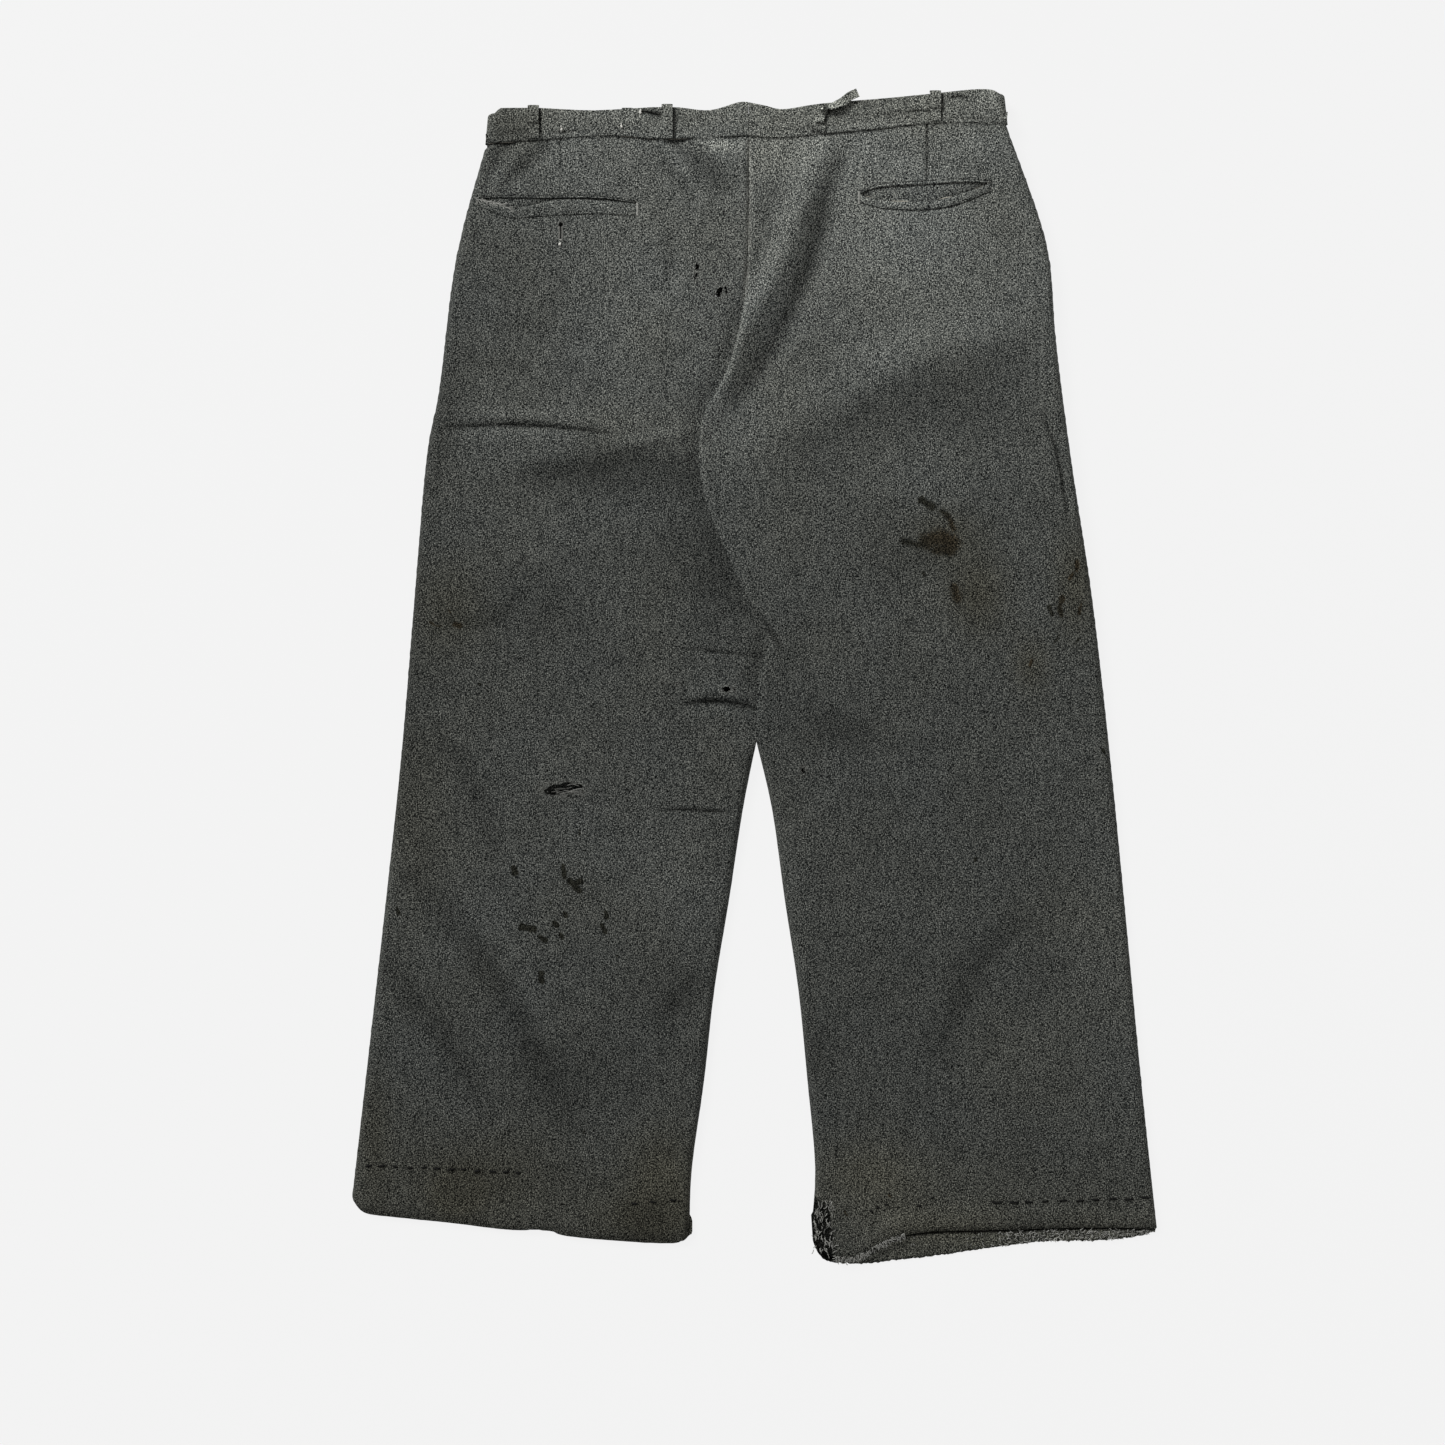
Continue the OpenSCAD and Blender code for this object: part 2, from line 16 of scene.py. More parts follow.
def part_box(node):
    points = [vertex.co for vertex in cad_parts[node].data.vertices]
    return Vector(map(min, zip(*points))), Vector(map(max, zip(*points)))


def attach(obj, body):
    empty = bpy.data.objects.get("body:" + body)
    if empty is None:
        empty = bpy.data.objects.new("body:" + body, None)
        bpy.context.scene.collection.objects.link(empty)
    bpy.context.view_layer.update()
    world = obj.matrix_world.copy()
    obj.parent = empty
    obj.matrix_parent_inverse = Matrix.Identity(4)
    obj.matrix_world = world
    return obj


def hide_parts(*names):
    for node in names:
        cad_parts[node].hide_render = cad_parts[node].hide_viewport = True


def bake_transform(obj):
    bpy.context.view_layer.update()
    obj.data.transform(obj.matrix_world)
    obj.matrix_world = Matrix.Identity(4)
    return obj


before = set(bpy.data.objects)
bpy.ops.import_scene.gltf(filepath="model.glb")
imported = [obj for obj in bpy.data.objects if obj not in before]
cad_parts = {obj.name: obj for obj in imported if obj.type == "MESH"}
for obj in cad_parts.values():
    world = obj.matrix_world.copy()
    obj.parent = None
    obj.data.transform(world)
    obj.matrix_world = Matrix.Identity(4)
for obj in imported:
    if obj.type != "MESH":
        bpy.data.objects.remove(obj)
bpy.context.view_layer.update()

MM = 1000.0  # millimetres in a metre
random.seed(7)


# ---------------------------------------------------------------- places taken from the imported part
def corners(node):
    """Lowest and highest corner of a CAD node, in millimetres."""
    low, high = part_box(node)
    return np.array(low) * MM, np.array(high) * MM


def mesh_edges(nodes):
    """Both ends of every edge of these CAD nodes."""
    ends = []
    for node in nodes:
        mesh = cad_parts[node].data
        places = np.array([v.co for v in mesh.vertices]) * MM
        ends.append(places[np.array([e.vertices[:] for e in mesh.edges])])
    return np.concatenate(ends)


def reach(nodes, along, pick, step=3.0):
    """A function that says how far these nodes reach across, at each place along X (0) or Y (1)."""
    ends = mesh_edges(nodes)
    low = ends[:, :, along].min(axis=1)
    high = ends[:, :, along].max(axis=1)
    places, found = [], []
    for place in np.arange(low.min() + 0.2, high.max(), step):
        hit = (low <= place) & (high >= place) & (high - low > 1e-6)
        if hit.any():
            a, b = ends[hit, 0], ends[hit, 1]
            share = (place - a[:, along]) / (b[:, along] - a[:, along])
            places.append(place)
            found.append(pick(a[:, 1 - along] + share * (b[:, 1 - along] - a[:, 1 - along])))
    return lambda where: np.interp(where, places, found)


SEAT_TOP = corners("left_back_panel")[1][2]
LEG_TOP = corners("left_lower_back_panel")[1][2]
BAND_TOP = corners("left_waistband")[1][2]
BAND_UNDER = corners("left_waistband")[0][2]
KNEE_Y = corners("left_back_panel")[0][1]
SLOPE_TOP_Y = 230.0  # where the back starts to sink towards the knees
EDGE_Z = 2.5  # height of the pressed side edges
EDGE_R = 5.0  # how far in from an edge the cloth rounds over
HEM_Z = 3.4  # height of the back's outer face along the hem
CLOTH = 0.9  # thickness of the trouser cloth
TUCK = 6.0  # how far a panel reaches under the waistband
LAY_DROP = 0.7  # how far the unfolded back lies under the tops of the solids
SIDES = {"left": -1, "right": 1}
SOFT_OUT = {"left": 1.0, "right": 1.7}  # how far the side edges stand outside the solids
HEM_OUT = {"left": 1.8, "right": 0.0}  # how far the back's hems stand below the solids
FRONT_HEM_OUT = 1.6  # and the front's
EAR_X = -54.5  # how far the left hem's inner corner sticks out
TORN_X = 72.0  # the right hem's corner inside this place is torn away
TORN_TOP_Y = -457  # and this is the top of the torn part
BACK = {s: (f"{s}_back_panel", f"{s}_lower_back_panel") for s in SIDES}
FRONT = {s: (f"{s}_front_panel", f"{s}_lower_front_panel") for s in SIDES}


def clamp(v, low=0.0, high=1.0):
    """The value kept between two limits."""
    return np.clip(v, low, high)


def ease(t):
    """A smooth step from 0 to 1 while t goes from 0 to 1."""
    t = clamp(t)
    return t * t * (3 - 2 * t)


def bump(gap, width, power=2):
    """1 at no distance, falling smoothly to nothing some widths away."""
    return np.exp(-((gap / width) ** power))


def side_by_side(*columns):
    """Columns of numbers put together, with a row for each place."""
    return np.stack(columns, axis=1)


def outer_edge(side):
    """The side edge of the back, carried on in a straight line and then in under the waistband."""
    found = reach(BACK[side], 1, max if SIDES[side] > 0 else min)
    top = corners(f"{side}_outseam")[1][1] - 8
    slope = (found(top) - found(top - 20)) / 20
    sign = SIDES[side]
    tuck_y = top + (7 if sign < 0 else 10)

    def edge(y):
        straight = np.where(y > top, found(top) + slope * (y - top), found(np.minimum(y, top)))
        return straight + sign * (SOFT_OUT[side] - 5 * ease((y - tuck_y) / 3))

    return edge


outer_x = {s: outer_edge(s) for s in SIDES}
inner_x = {s: reach(BACK[s], 1, min if SIDES[s] > 0 else max) for s in SIDES}
front_inner_x = {s: reach(FRONT[s], 1, min if SIDES[s] > 0 else max) for s in SIDES}
hem_y = {s: lambda x, found=reach(BACK[s], 0, min), low=low: found(x) - low for s, low in HEM_OUT.items()}
front_hem_y = {s: lambda x, found=reach(FRONT[s], 0, min): found(x) - FRONT_HEM_OUT for s in SIDES}
band_low_y = {s: reach([f"{s}_waistband"], 0, min) for s in SIDES}
band_high_y = {s: reach([f"{s}_waistband"], 0, max) for s in SIDES}
side_top_y = {s: corners(f"{s}_outseam")[1][1] for s in SIDES}
inseam_low_y = {s: corners(f"{s}_lower_inseam")[0][1] for s in SIDES}
CROTCH_Y = corners("left_inseam")[1][1]
SEAT_TOP_Y = corners("seat_seam")[1][1]


# ---------------------------------------------------------------- lines and noise
def turn_over(gap, radius=EDGE_R):
    """0 at an edge and 1 once the cloth lies flat, as a quarter circle."""
    return np.sqrt(1 - (1 - clamp(gap / radius)) ** 2)


def ripple(x, y, size, seed, stretch=1.0):
    """Smooth noise from -1 to 1 with features of this size, longer along Y where stretch is over 1."""
    return np.array([noise.noise((a, b, seed)) for a, b in zip(x / size, y / size / stretch)])


def smooth_line(points, steps=6):
    """A smooth line through the points."""
    p = np.array([points[0], *points, points[-1]], float)
    t = np.linspace(0, 1, steps, endpoint=False)[:, None]
    parts = []
    for a, b, c, d in zip(p[:-3], p[1:-2], p[2:-1], p[3:]):
        parts.append((2 * b + (c - a) * t + (2 * a - 5 * b + 4 * c - d) * t**2
                      + (3 * b - a - 3 * c + d) * t**3) / 2)
    return np.concatenate([*parts, p[-1:]])


def run_along(line):
    """How far along a line each of its points is."""
    return np.concatenate([[0], np.cumsum(np.linalg.norm(np.diff(line, axis=0), axis=1))])


def closed(outline):
    """An outline with its first point again at its end."""
    return np.concatenate([outline, outline[:1]])


def resample(line, count):
    """The same line with this many points, evenly spaced."""
    line = np.array(line, float)
    run = run_along(line)
    at = np.linspace(0, run[-1], count)
    return np.stack([np.interp(at, run, line[:, k]) for k in range(line.shape[1])], axis=1)


def round_corners(points, radius, steps=5):
    """A closed outline with its corners rounded."""
    p = np.array(points, float)
    out = []
    for before, here, after in zip(np.roll(p, 1, axis=0), p, np.roll(p, -1, axis=0)):
        a = here + (before - here) / np.linalg.norm(before - here) * radius
        b = here + (after - here) / np.linalg.norm(after - here) * radius
        for t in np.linspace(0, 1, steps):
            out.append((1 - t) ** 2 * a + 2 * t * (1 - t) * here + t * t * b)
    return np.array(out)


def to_line(x, y, line):
    """Distance of each place from a line, and how far along the line its nearest point is, 0 to 1."""
    line = np.array(line, float)[:, :2]
    lengths = np.maximum(np.linalg.norm(np.diff(line, axis=0), axis=1), 1e-6)
    before = np.concatenate([[0], np.cumsum(lengths)])  # how far along each corner is
    best = np.full(len(x), 1e9)
    share = np.zeros(len(x))
    for i, length in enumerate(lengths):
        a, d = line[i], (line[i + 1] - line[i]) / length
        t = np.clip((x - a[0]) * d[0] + (y - a[1]) * d[1], 0, length)
        gap = np.hypot(x - a[0] - t * d[0], y - a[1] - t * d[1])
        nearer = gap < best
        best[nearer] = gap[nearer]
        share[nearer] = (before[i] + t[nearer]) / before[-1]
    return best, share


def inside(x, y, outline):
    """Which places lie inside a closed outline."""
    a = np.array(outline)
    b = np.roll(a, -1, axis=0)
    result = np.zeros(len(x), bool)
    for (ax, ay), (bx, by) in zip(a, b):
        if ay != by:
            crosses = (ay > y) != (by > y)
            result ^= crosses & (x < (bx - ax) * (y - ay) / (by - ay) + ax)
    return result


# ---------------------------------------------------------------- folds, wear and stains, by side
# A fold is a line, its width and its height, which is negative for a valley
FOLDS = {
    "left": [
        ([(-275, 218), (-226, 221), (-183, 220), (-139, 215), (-116, 212)], 1.9, -3.2),
        ([(-272, 227), (-226, 230), (-183, 229), (-139, 224)], 5, 1.8),
        ([(-262, 209), (-200, 210), (-150, 205)], 6, 1.4), ([(-122, 203), (-85, 210), (-48, 218)], 5, 2.2),
        ([(-205, 176), (-139, 183), (-96, 188), (-40, 178)], 11, -4.6),
        ([(-260, 279), (-225, 270), (-191, 266)], 7, -1.6),
        ([(-226, 305), (-200, 305), (-174, 309)], 7, -1.5),
        ([(-196, 470), (-214, 452), (-232, 425)], 8, 2.2),
        ([(-212, 472), (-226, 452), (-238, 430)], 6, -2.6),
        ([(-178, 470), (-196, 452), (-222, 428)], 6, -2.2), ([(-92, 474), (-64, 434), (-50, 412)], 6, -3.4),
        ([(-90, 478), (-72, 458), (-56, 438), (-40, 416)], 7, 3.0),
        ([(-76, 474), (-56, 459), (-38, 446), (-16, 420)], 9, -4.6),
        ([(-60, 474), (-34, 464), (-8, 444)], 9, 2.4), ([(-74, 392), (-72, 368), (-76, 340)], 5, -2.6),
        ([(-76, 345), (-75, 300), (-80, 222)], 5, -1.2), ([(-278, 49), (-235, 45), (-196, 75)], 7, -2.2),
        ([(-70, 25), (-31, 22), (8, 16)], 1.6, -1.8),
        ([(-64, -25), (-40, -22), (-15, -24), (6, -31)], 2.4, -4.2),
        ([(-60, -15), (-30, -12), (0, -19)], 5.0, 2.2), ([(-58, -35), (-28, -34), (-2, -41)], 5.0, 1.6),
        ([(-86, -118.6), (-57, -117.6), (-17, -120)], 1.4, -2.6),
        ([(-304, -167), (-278, -202), (-222, -275), (-180, -350), (-146, -414)], 12, -4.6),
        ([(-330, -240), (-300, -285), (-268, -325), (-222, -395)], 11, -4.2),
        ([(-44, -262), (-65, -290), (-87, -314)], 16, -4.0),
        ([(-262, -60), (-240, -110), (-220, -170)], 12, -3.2),
        ([(-59.5, -470), (-60.5, -481), (-58.5, -491)], 1.2, -1.5),
        ([(-212, -240), (-190, -290), (-150, -345)], 12, 2.4),
        ([(-285, 120), (-240, 105), (-200, 112)], 5, -0.7), ([(-120, 60), (-90, 30), (-75, -10)], 10, 1.0),
        ([(-225, 120), (-180, 100), (-150, 60)], 12, 1.0),
    ],
    "right": [
        ([(66, 474), (52, 443), (38, 404), (20, 358), (-2, 318), (-22, 282), (-34, 244)], 12, 7.0),
        ([(86, 470), (70, 430), (60, 389), (50, 356), (35, 322), (17, 288), (-4, 256), (-18, 232)], 9, -6.2),
        ([(34, 470), (22, 430), (8, 380), (-2, 345)], 7, -1.6),
        ([(254, 313), (207, 300), (164, 290), (94, 257), (51, 231), (10, 205)], 22, 3.4),
        ([(250, 278), (170, 255), (110, 225), (40, 190)], 26, -3.2),
        ([(253, 233), (261, 212), (268, 190), (278, 128)], 1.5, -2.4),
        ([(4, 58), (14, 40), (27, 22)], 2.4, -2.6), ([(240, 150), (262, 140), (282, 120)], 9, -1.6),
        ([(240, 232), (258, 210), (276, 176)], 5, 1.0), ([(262, 215), (272, 185), (280, 150)], 4, -0.9),
        ([(42, -20), (75, -45), (111, -67)], 12, -1.5),
        ([(250, -210), (207, -249), (181, -297), (163, -349)], 13, -3.4),
        ([(44, -228), (70, -232), (96, -230)], 4, -0.6), ([(46, -250), (75, -254), (104, -250)], 4, -0.6),
        ([(48, -270), (76, -273), (100, -270)], 4, -0.5), ([(186, 478), (208, 450), (232, 424)], 6, 2.4),
        ([(184, 474), (204, 440), (222, 415)], 7, -1.1), ([(150, 120), (170, 60), (175, 0)], 16, 0.9),
        ([(262, 50), (285, 30), (296, 0)], 6, -0.9),
    ],
}
# Broad darker and lighter patches, partly painted shade and light over folds and drapes: middle, reach along
# X and Y, factor on brightness, and brown tint
SHADES = {
    "left": [
        ((-205, 360), (60, 110), 0.76, 0.0), ((-210, 472), (26, 22), 0.76, 0.2),
        ((-120, 174), (95, 15), 0.60, 0.0), ((-34, 95), (28, 62), 0.66, 0.0),
        ((-190, 62), (50, 46), 0.76, 0.0), ((-268, 60), (34, 42), 0.84, 0.6),
        ((-32, 466), (20, 6), 1.45, 0.2), ((-46, 441), (24, 13), 0.80, 0.0),
        ((-86, 447), (12, 16), 0.86, 0.0), ((-214, 446), (14, 12), 0.86, 0.0),
        ((-150, 225), (90, 14), 1.12, 0.1), ((-70, -175), (44, 46), 1.27, 0.0),
        ((-150, -165), (44, 40), 1.10, 0.0), ((-300, -120), (30, 90), 0.92, 0.4),
        ((-245, -440), (80, 36), 0.78, 0.6), ((-160, -350), (50, 34), 0.80, 0.0),
        ((-95, -478), (40, 24), 0.64, 0.7), ((-262, -455), (22, 20), 0.90, 1.0),
        ((-225, -230), (34, 30), 1.12, 0.0), ((-80, -440), (30, 40), 0.94, 0.9),
        ((-272, 245), (18, 60), 0.78, 0.1), ((-335, -400), (14, 60), 0.80, 0.5),
        ((-110, 320), (40, 50), 1.05, 0.0), ((-20, -330), (40, 40), 0.92, 0.1),
        ((-72, 120), (44, 40), 0.84, 0.0), ((-56, 380), (34, 34), 0.90, 0.0),
        ((-210, 330), (60, 60), 0.93, 0.0), ((-20, 470), (24, 10), 1.18, 0.0),
    ],
    "right": [
        ((16, 458), (56, 22), 1.30, 0.2), ((46, 400), (26, 34), 0.88, 0.0),
        ((120, 400), (80, 80), 1.30, 0.0), ((190, 236), (64, 26), 0.72, 0.0),
        ((228, 286), (30, 24), 0.80, 0.0), ((-6, 206), (30, 28), 1.38, 0.0),
        ((128, 104), (52, 26), 0.80, 0.1), ((196, 72), (24, 34), 0.76, 0.9),
        ((170, 128), (34, 22), 0.86, 0.6), ((282, 80), (18, 40), 0.82, 0.9),
        ((30, 190), (40, 30), 0.86, 0.0), ((170, 330), (90, 60), 1.10, 0.0),
        ((140, 170), (40, 20), 1.12, 0.0), ((250, 440), (26, 30), 0.86, 0.0),
        ((66, -44), (34, 24), 0.72, 0.0), ((243, 10), (16, 22), 0.90, 0.7),
        ((300, -270), (60, 90), 1.18, 0.1), ((165, -486), (62, 22), 1.36, 0.5),
        ((304, -488), (44, 18), 1.40, 0.3), ((110, -440), (50, 30), 1.14, 0.7),
        ((240, -340), (44, 44), 1.14, 0.2), ((50, -335), (20, 30), 0.78, 0.0),
        ((255, -262), (24, 22), 0.84, 0.0),
    ],
}
# Stains are short lines with a width and a strength
STAINS = {
    "left": [
        ([(-212, -168), (-211, -173)], 3.2, 1), ([(-168, -166), (-167, -176)], 2.2, 1),
        ([(-162, -180), (-158, -183), (-153, -180)], 3.2, 1), ([(-157, -185), (-154, -188)], 3.2, 1),
        ([(-154, -134), (-154, -139)], 1.6, 0.9), ([(-167, -208), (-166, -211)], 2.2, 1),
        ([(-131, -207), (-130, -212)], 2.4, 1), ([(-205, -220), (-194, -222)], 3.3, 1),
        ([(-176, -216), (-174, -219)], 2.6, 1), ([(-171, -226), (-169, -229)], 2.2, 1),
        ([(-134, -219), (-131, -224)], 2.6, 1), ([(-189, -229), (-184, -232)], 2.6, 1),
        ([(-188, -260), (-187, -268)], 2.9, 1), ([(-146, -242), (-146, -244)], 1.6, 0.9),
        ([(-121, -245), (-120, -246)], 1.6, 0.9), ([(-314, -203), (-313, -208)], 2.2, 0.9),
        ([(-263, 46), (-259, 45)], 3.0, 1), ([(-242, -6), (-240, -7)], 1.6, 0.9),
        ([(-151, -400), (-150, -403)], 1.6, 0.9), ([(-180, -198), (-179, -200)], 1.3, 0.9),
        ([(-285, 48), (-276, 44)], 1.8, 0.8), ([(-270, 60), (-266, 56)], 1.4, 0.7),
        ([(-199, -186), (-198, -188)], 1.3, 0.8), ([(-224, 78), (-222, 76)], 1.2, 0.7),
    ],
    "right": [
        ([(147, 155), (157, 150)], 5.0, 0.75), ([(165, 146), (171, 141), (175, 130)], 5.0, 0.64),
        ([(152, 119), (164, 122), (173, 118)], 13, 0.66), ([(131, 119), (146, 116)], 6.0, 0.62),
        ([(160, 112), (173, 111)], 8.0, 0.66), ([(107, 124), (106, 133)], 1.5, 0.6),
        ([(148, 92), (150, 89)], 2.6, 0.7), ([(176, 79), (178, 69)], 8.0, 0.62),
        ([(166, 94), (170, 88)], 1.6, 0.6), ([(284, 102), (284, 94)], 2.6, 0.9),
        ([(280, 91), (277, 86)], 2.4, 0.8), ([(271, 70), (268, 62), (270, 54)], 3.2, 0.8),
        ([(259, 62), (262, 55)], 2.6, 0.8), ([(287, 64), (286, 56)], 2.0, 0.8),
        ([(244, 14), (243, 10)], 2.2, 0.9), ([(307, -64), (309, -69)], 2.0, 0.9),
        ([(195, -160), (195, -162)], 2.4, 0.9), ([(268, 36), (264, 30)], 2.4, 0.7),
        ([(79, -470), (82, -474)], 2.0, 0.7), ([(286, 34), (282, 28)], 1.8, 0.8),
        ([(117, -455), (120, -458)], 1.8, 0.8),
    ],
}
# Holes are a middle, the reach along X and Y, and a turn in degrees
HOLES = {
    "left": [
        ((-50.3, 360), (1.9, 3.2), 0), ((-51.5, 352), (1.1, 3.2), -15), ((-44, 341), (0.9, 1.4), 0),
        ((-30.8, 338), (2.5, 5.0), -25), ((-24.9, 339.8), (1.2, 3.8), 10), ((-80.3, -5.3), (2.0, 1.2), 0),
        ((-67.5, -5.6), (0.9, 0.9), 0), ((-24.5, -10.8), (3.6, 2.4), 0), ((-17.6, -12), (1.2, 1.6), 0),
        ((-168.0, -98.4), (17.0, 4.9), 9), ((-158.5, -105.2), (6.5, 1.5), -6),
    ],
    "right": [
        ((42.9, -82.7), (1.8, 2.6), 0), ((44.0, -78.6), (0.8, 0.8), 0),
    ],
}
# Folds in the waistband, on top of its own shape
BAND_FOLDS = {
    "left": [
        ([(-14, 478), (-13, 490), (-12, 503)], 9, 1.3), ([(-90, 496), (-60, 490), (-35, 492)], 5, -0.9),
        ([(-99, 497), (-90, 495), (-82, 494)], 1.3, -1.6),
        ([(-189, 488), (-187.5, 480), (-186.6, 473)], 1.2, -1.2),
        ([(-220, 488), (-205, 486), (-192, 488)], 4, -0.6),
        ([(-232, 478), (-215, 476), (-195, 478)], 3, -0.6),
        ([(-160, 492), (-135, 489), (-110, 491)], 5, -0.6), ([(-70, 482), (-45, 480), (-20, 482)], 4, 0.6),
        ([(-66, 489), (-55, 488), (-46, 490)], 1.2, -1.0),
        ([(-64, 484), (-50, 482.5), (-40, 484)], 1.2, -0.9),
        ([(-226, 481), (-212, 478.5), (-198, 480)], 1.3, -0.9),
        ([(-182, 479), (-165, 478), (-150, 479.5)], 1.3, -0.8),
        ([(-150, 484), (-125, 483), (-100, 484.5)], 1.4, -0.7),
        ([(-35, 494), (-24, 490), (-18, 483)], 2.0, -0.9),
    ],
    "right": [
        ([(8, 478), (10, 490), (12, 500)], 9, 1.3), ([(100, 492), (125, 493), (150, 497)], 3, -1.0),
        ([(149, 496), (157, 497), (164, 498)], 1.2, -1.4),
        ([(173, 509), (180, 510), (188, 508.5)], 1.2, -1.8), ([(60, 488), (90, 489), (120, 495)], 5, -0.7),
        ([(196, 512), (205, 500), (214, 492)], 5, 1.0), ([(20, 484), (40, 486), (55, 484)], 4, 0.7),
        ([(70, 500), (100, 503), (140, 508)], 3, -0.6),
        ([(134, 495.5), (142, 496.5), (150, 497)], 1.1, -1.2),
        ([(170, 489), (195, 489.5), (218, 490)], 1.5, -1.0), ([(12, 492), (24, 488), (40, 489)], 1.6, -0.8),
        ([(84, 497), (104, 500), (122, 501)], 1.3, -0.7), ([(214, 486), (206, 492), (196, 496)], 2.2, 1.0),
    ],
}
# Painted shade in the waistband: shadows beside and under the loops and the torn loop, dark lines in creases
# and in the slit: a line, its width and its depth of shade
BAND_LINES = {
    "left": [
        ([(-188.4, 502), (-188.4, 489)], 0.9, 0.9), ([(-198, 488.6), (-188.4, 488.9)], 0.9, 0.85),
        ([(-188.4, 489), (-186.4, 472)], 0.7, 0.6), ([(-71.2, 502), (-71.2, 471)], 0.7, 0.8),
        ([(-99, 497.0), (-91, 495.4), (-82.6, 493.6)], 1.7, 1.0), ([(-201, 474), (-190, 473.6)], 0.8, 0.6),
    ],
    "right": [
        ([(164.6, 512), (164.6, 489)], 0.9, 0.9), ([(149, 496.6), (157, 497.4), (163, 498.2)], 0.8, 0.85),
        ([(173, 509), (180, 510), (188, 508)], 0.9, 0.85), ([(51.6, 483.4), (62, 483.0)], 0.8, 0.85),
        ([(51.6, 478.2), (62, 478.6)], 0.8, 0.85), ([(51.4, 483), (51.4, 478)], 0.8, 0.8),
        ([(60.6, 497), (67, 500), (62.5, 489)], 1.1, 0.85), ([(66, 496), (76, 500), (86, 507)], 1.2, 0.7),
        ([(58, 489), (60, 499)], 0.9, 0.8), ([(58, 503), (66, 500)], 1.0, 0.7),
    ],
}


def stitch_row(start, stop, count, half=3.4):
    """Middles and half lengths of uneven hand stitches between two places."""
    row = []
    for i in range(count):
        t = i / max(count - 1, 1)
        row.append((start[0] + (stop[0] - start[0]) * t + random.uniform(-1.2, 1.2),
                    start[1] + (stop[1] - start[1]) * t + random.uniform(-0.6, 0.6),
                    half * random.uniform(0.7, 1.3)))
    return row


# The hem stitches that are still there
STITCHES = {
    "left": (stitch_row((-339, -430), (-207, -436.2), 12, 2.2)
             + stitch_row((-106, -463.6), (-72, -461), 3, 2.6)),
    "right": (stitch_row((214, -463), (344, -459), 10, 2.9) + stitch_row((146, -465.5), (158, -458.5), 2, 1.1)
              + stitch_row((104, -470), (116, -464), 3, 0.9)),
}


def lay(y):
    """Height of the back's outer face before any fold."""
    return LEG_TOP + (SEAT_TOP - LEG_TOP) * ease((y - KNEE_Y) / (SLOPE_TOP_Y - KNEE_Y)) - LAY_DROP


def relief(x, y, folds):
    """Height that the folds add, fading out at their ends."""
    z = np.zeros(len(x))
    for points, width, height in folds:
        gap, share = to_line(x, y, smooth_line(points))
        z += height * np.sqrt(np.sin(np.pi * clamp(share))) * bump(gap, width)
    return z


def lap(y):
    """1 where the right seat laps over the left one, 0 where the two meet in a seam."""
    return ease((352 - y) / 50) * ease((y - CROTCH_Y + 6) / 60)


SEAT_LINE = np.array([(inner_x["right"](y), y) for y in np.arange(SEAT_TOP_Y, CROTCH_Y, -8.0)])
LAP_RISE = 2.6  # how far the right seat stands over the left one
ROLL_R = 8.0  # radius of its rolled edge


def back_height(side, x, y):
    """Height of the back's outer face."""
    sign = SIDES[side]
    z = lay(y) + relief(x, y, FOLDS[side])
    z += 1.5 * ripple(x, y, 62, 3 + sign, 1.5) + 0.75 * ripple(x, y, 25, 9 + sign, 1.2)
    z += 0.30 * ripple(x, y, 11, 15 + sign)
    z += 0.30 * ripple(x, y, 7, 19 + sign, 0.8) * (0.3 + ease((y - 330) / 80) + 0.5 * ease((-60 - y) / 200))
    gap, _ = to_line(x, y, SEAT_LINE)
    past = sign * (x - inner_x["right"](y))  # above 0 on this panel's own side of the seat line
    lapped = lap(y)
    seam = (1 - lapped) * ease((y - CROTCH_Y) / 40)
    z += seam * (0.45 * bump(gap - 4.5, 3.0) - 1.5 * bump(gap, 1.3))
    if side == "right":
        z += LAP_RISE * lapped * bump(gap, 26)
        z -= lapped * (z - lay(y) + 0.6) * (1 - turn_over(gap, ROLL_R))
    else:
        near = np.where(past > 0, bump(gap, 11), 1.0)
        z -= lapped * 4.2 * near
    side_gap = np.abs(x - outer_x[side](y))
    leg_gap = np.abs(x - inner_x[side](y))
    open_leg = ease((CROTCH_Y + 4 - y) / 30)
    z = EDGE_Z + (z - EDGE_Z) * turn_over(side_gap)
    z = z + (EDGE_Z - z) * (1 - turn_over(leg_gap)) * open_leg
    hem_gap = y - hem_y[side](x)
    return z + (HEM_Z - z) * (1 - turn_over(hem_gap, 16)) * (y < -400)


def front_height(side, x, y):
    """Height of the front's outer face, which lies on the floor."""
    z = 0.45 + 0.35 * ripple(x, y, 50, 31 + SIDES[side]) + 0.15 * ripple(x, y, 17, 41)
    side_gap = np.abs(x - outer_x[side](y))
    leg_gap = np.abs(x - inner_x[side](y))
    low = EDGE_Z - 0.2
    z = low + (z - low) * turn_over(side_gap)
    return np.maximum(z + (low - z) * (1 - turn_over(leg_gap)) * (y < CROTCH_Y), 0.02)


def fold_shade(x, y, folds):
    """Painted shade and light of folds: paler on a ridge, darker in a valley."""
    shade = np.ones(len(x))
    for points, width, height in folds:
        gap, share = to_line(x, y, smooth_line(points))
        # worn holds the painted light on a ridge and the painted shade in a valley
        worn = clamp(height * (0.24 if width < 4 else 0.07), -0.6 if width < 4 else -0.42, 0.16)
        shade *= 1 + worn * bump(gap, width) * np.sqrt(np.sin(np.pi * clamp(share)))
    return shade


# How bright the cloth is at these places, from the hems up to the waistband, darker towards the hems
TONE_Y = [-515, -300, -200, 0, 150, 300, 430, 470, 500]
TONE = [0.054, 0.053, 0.057, 0.060, 0.069, 0.090, 0.105, 0.115, 0.129]


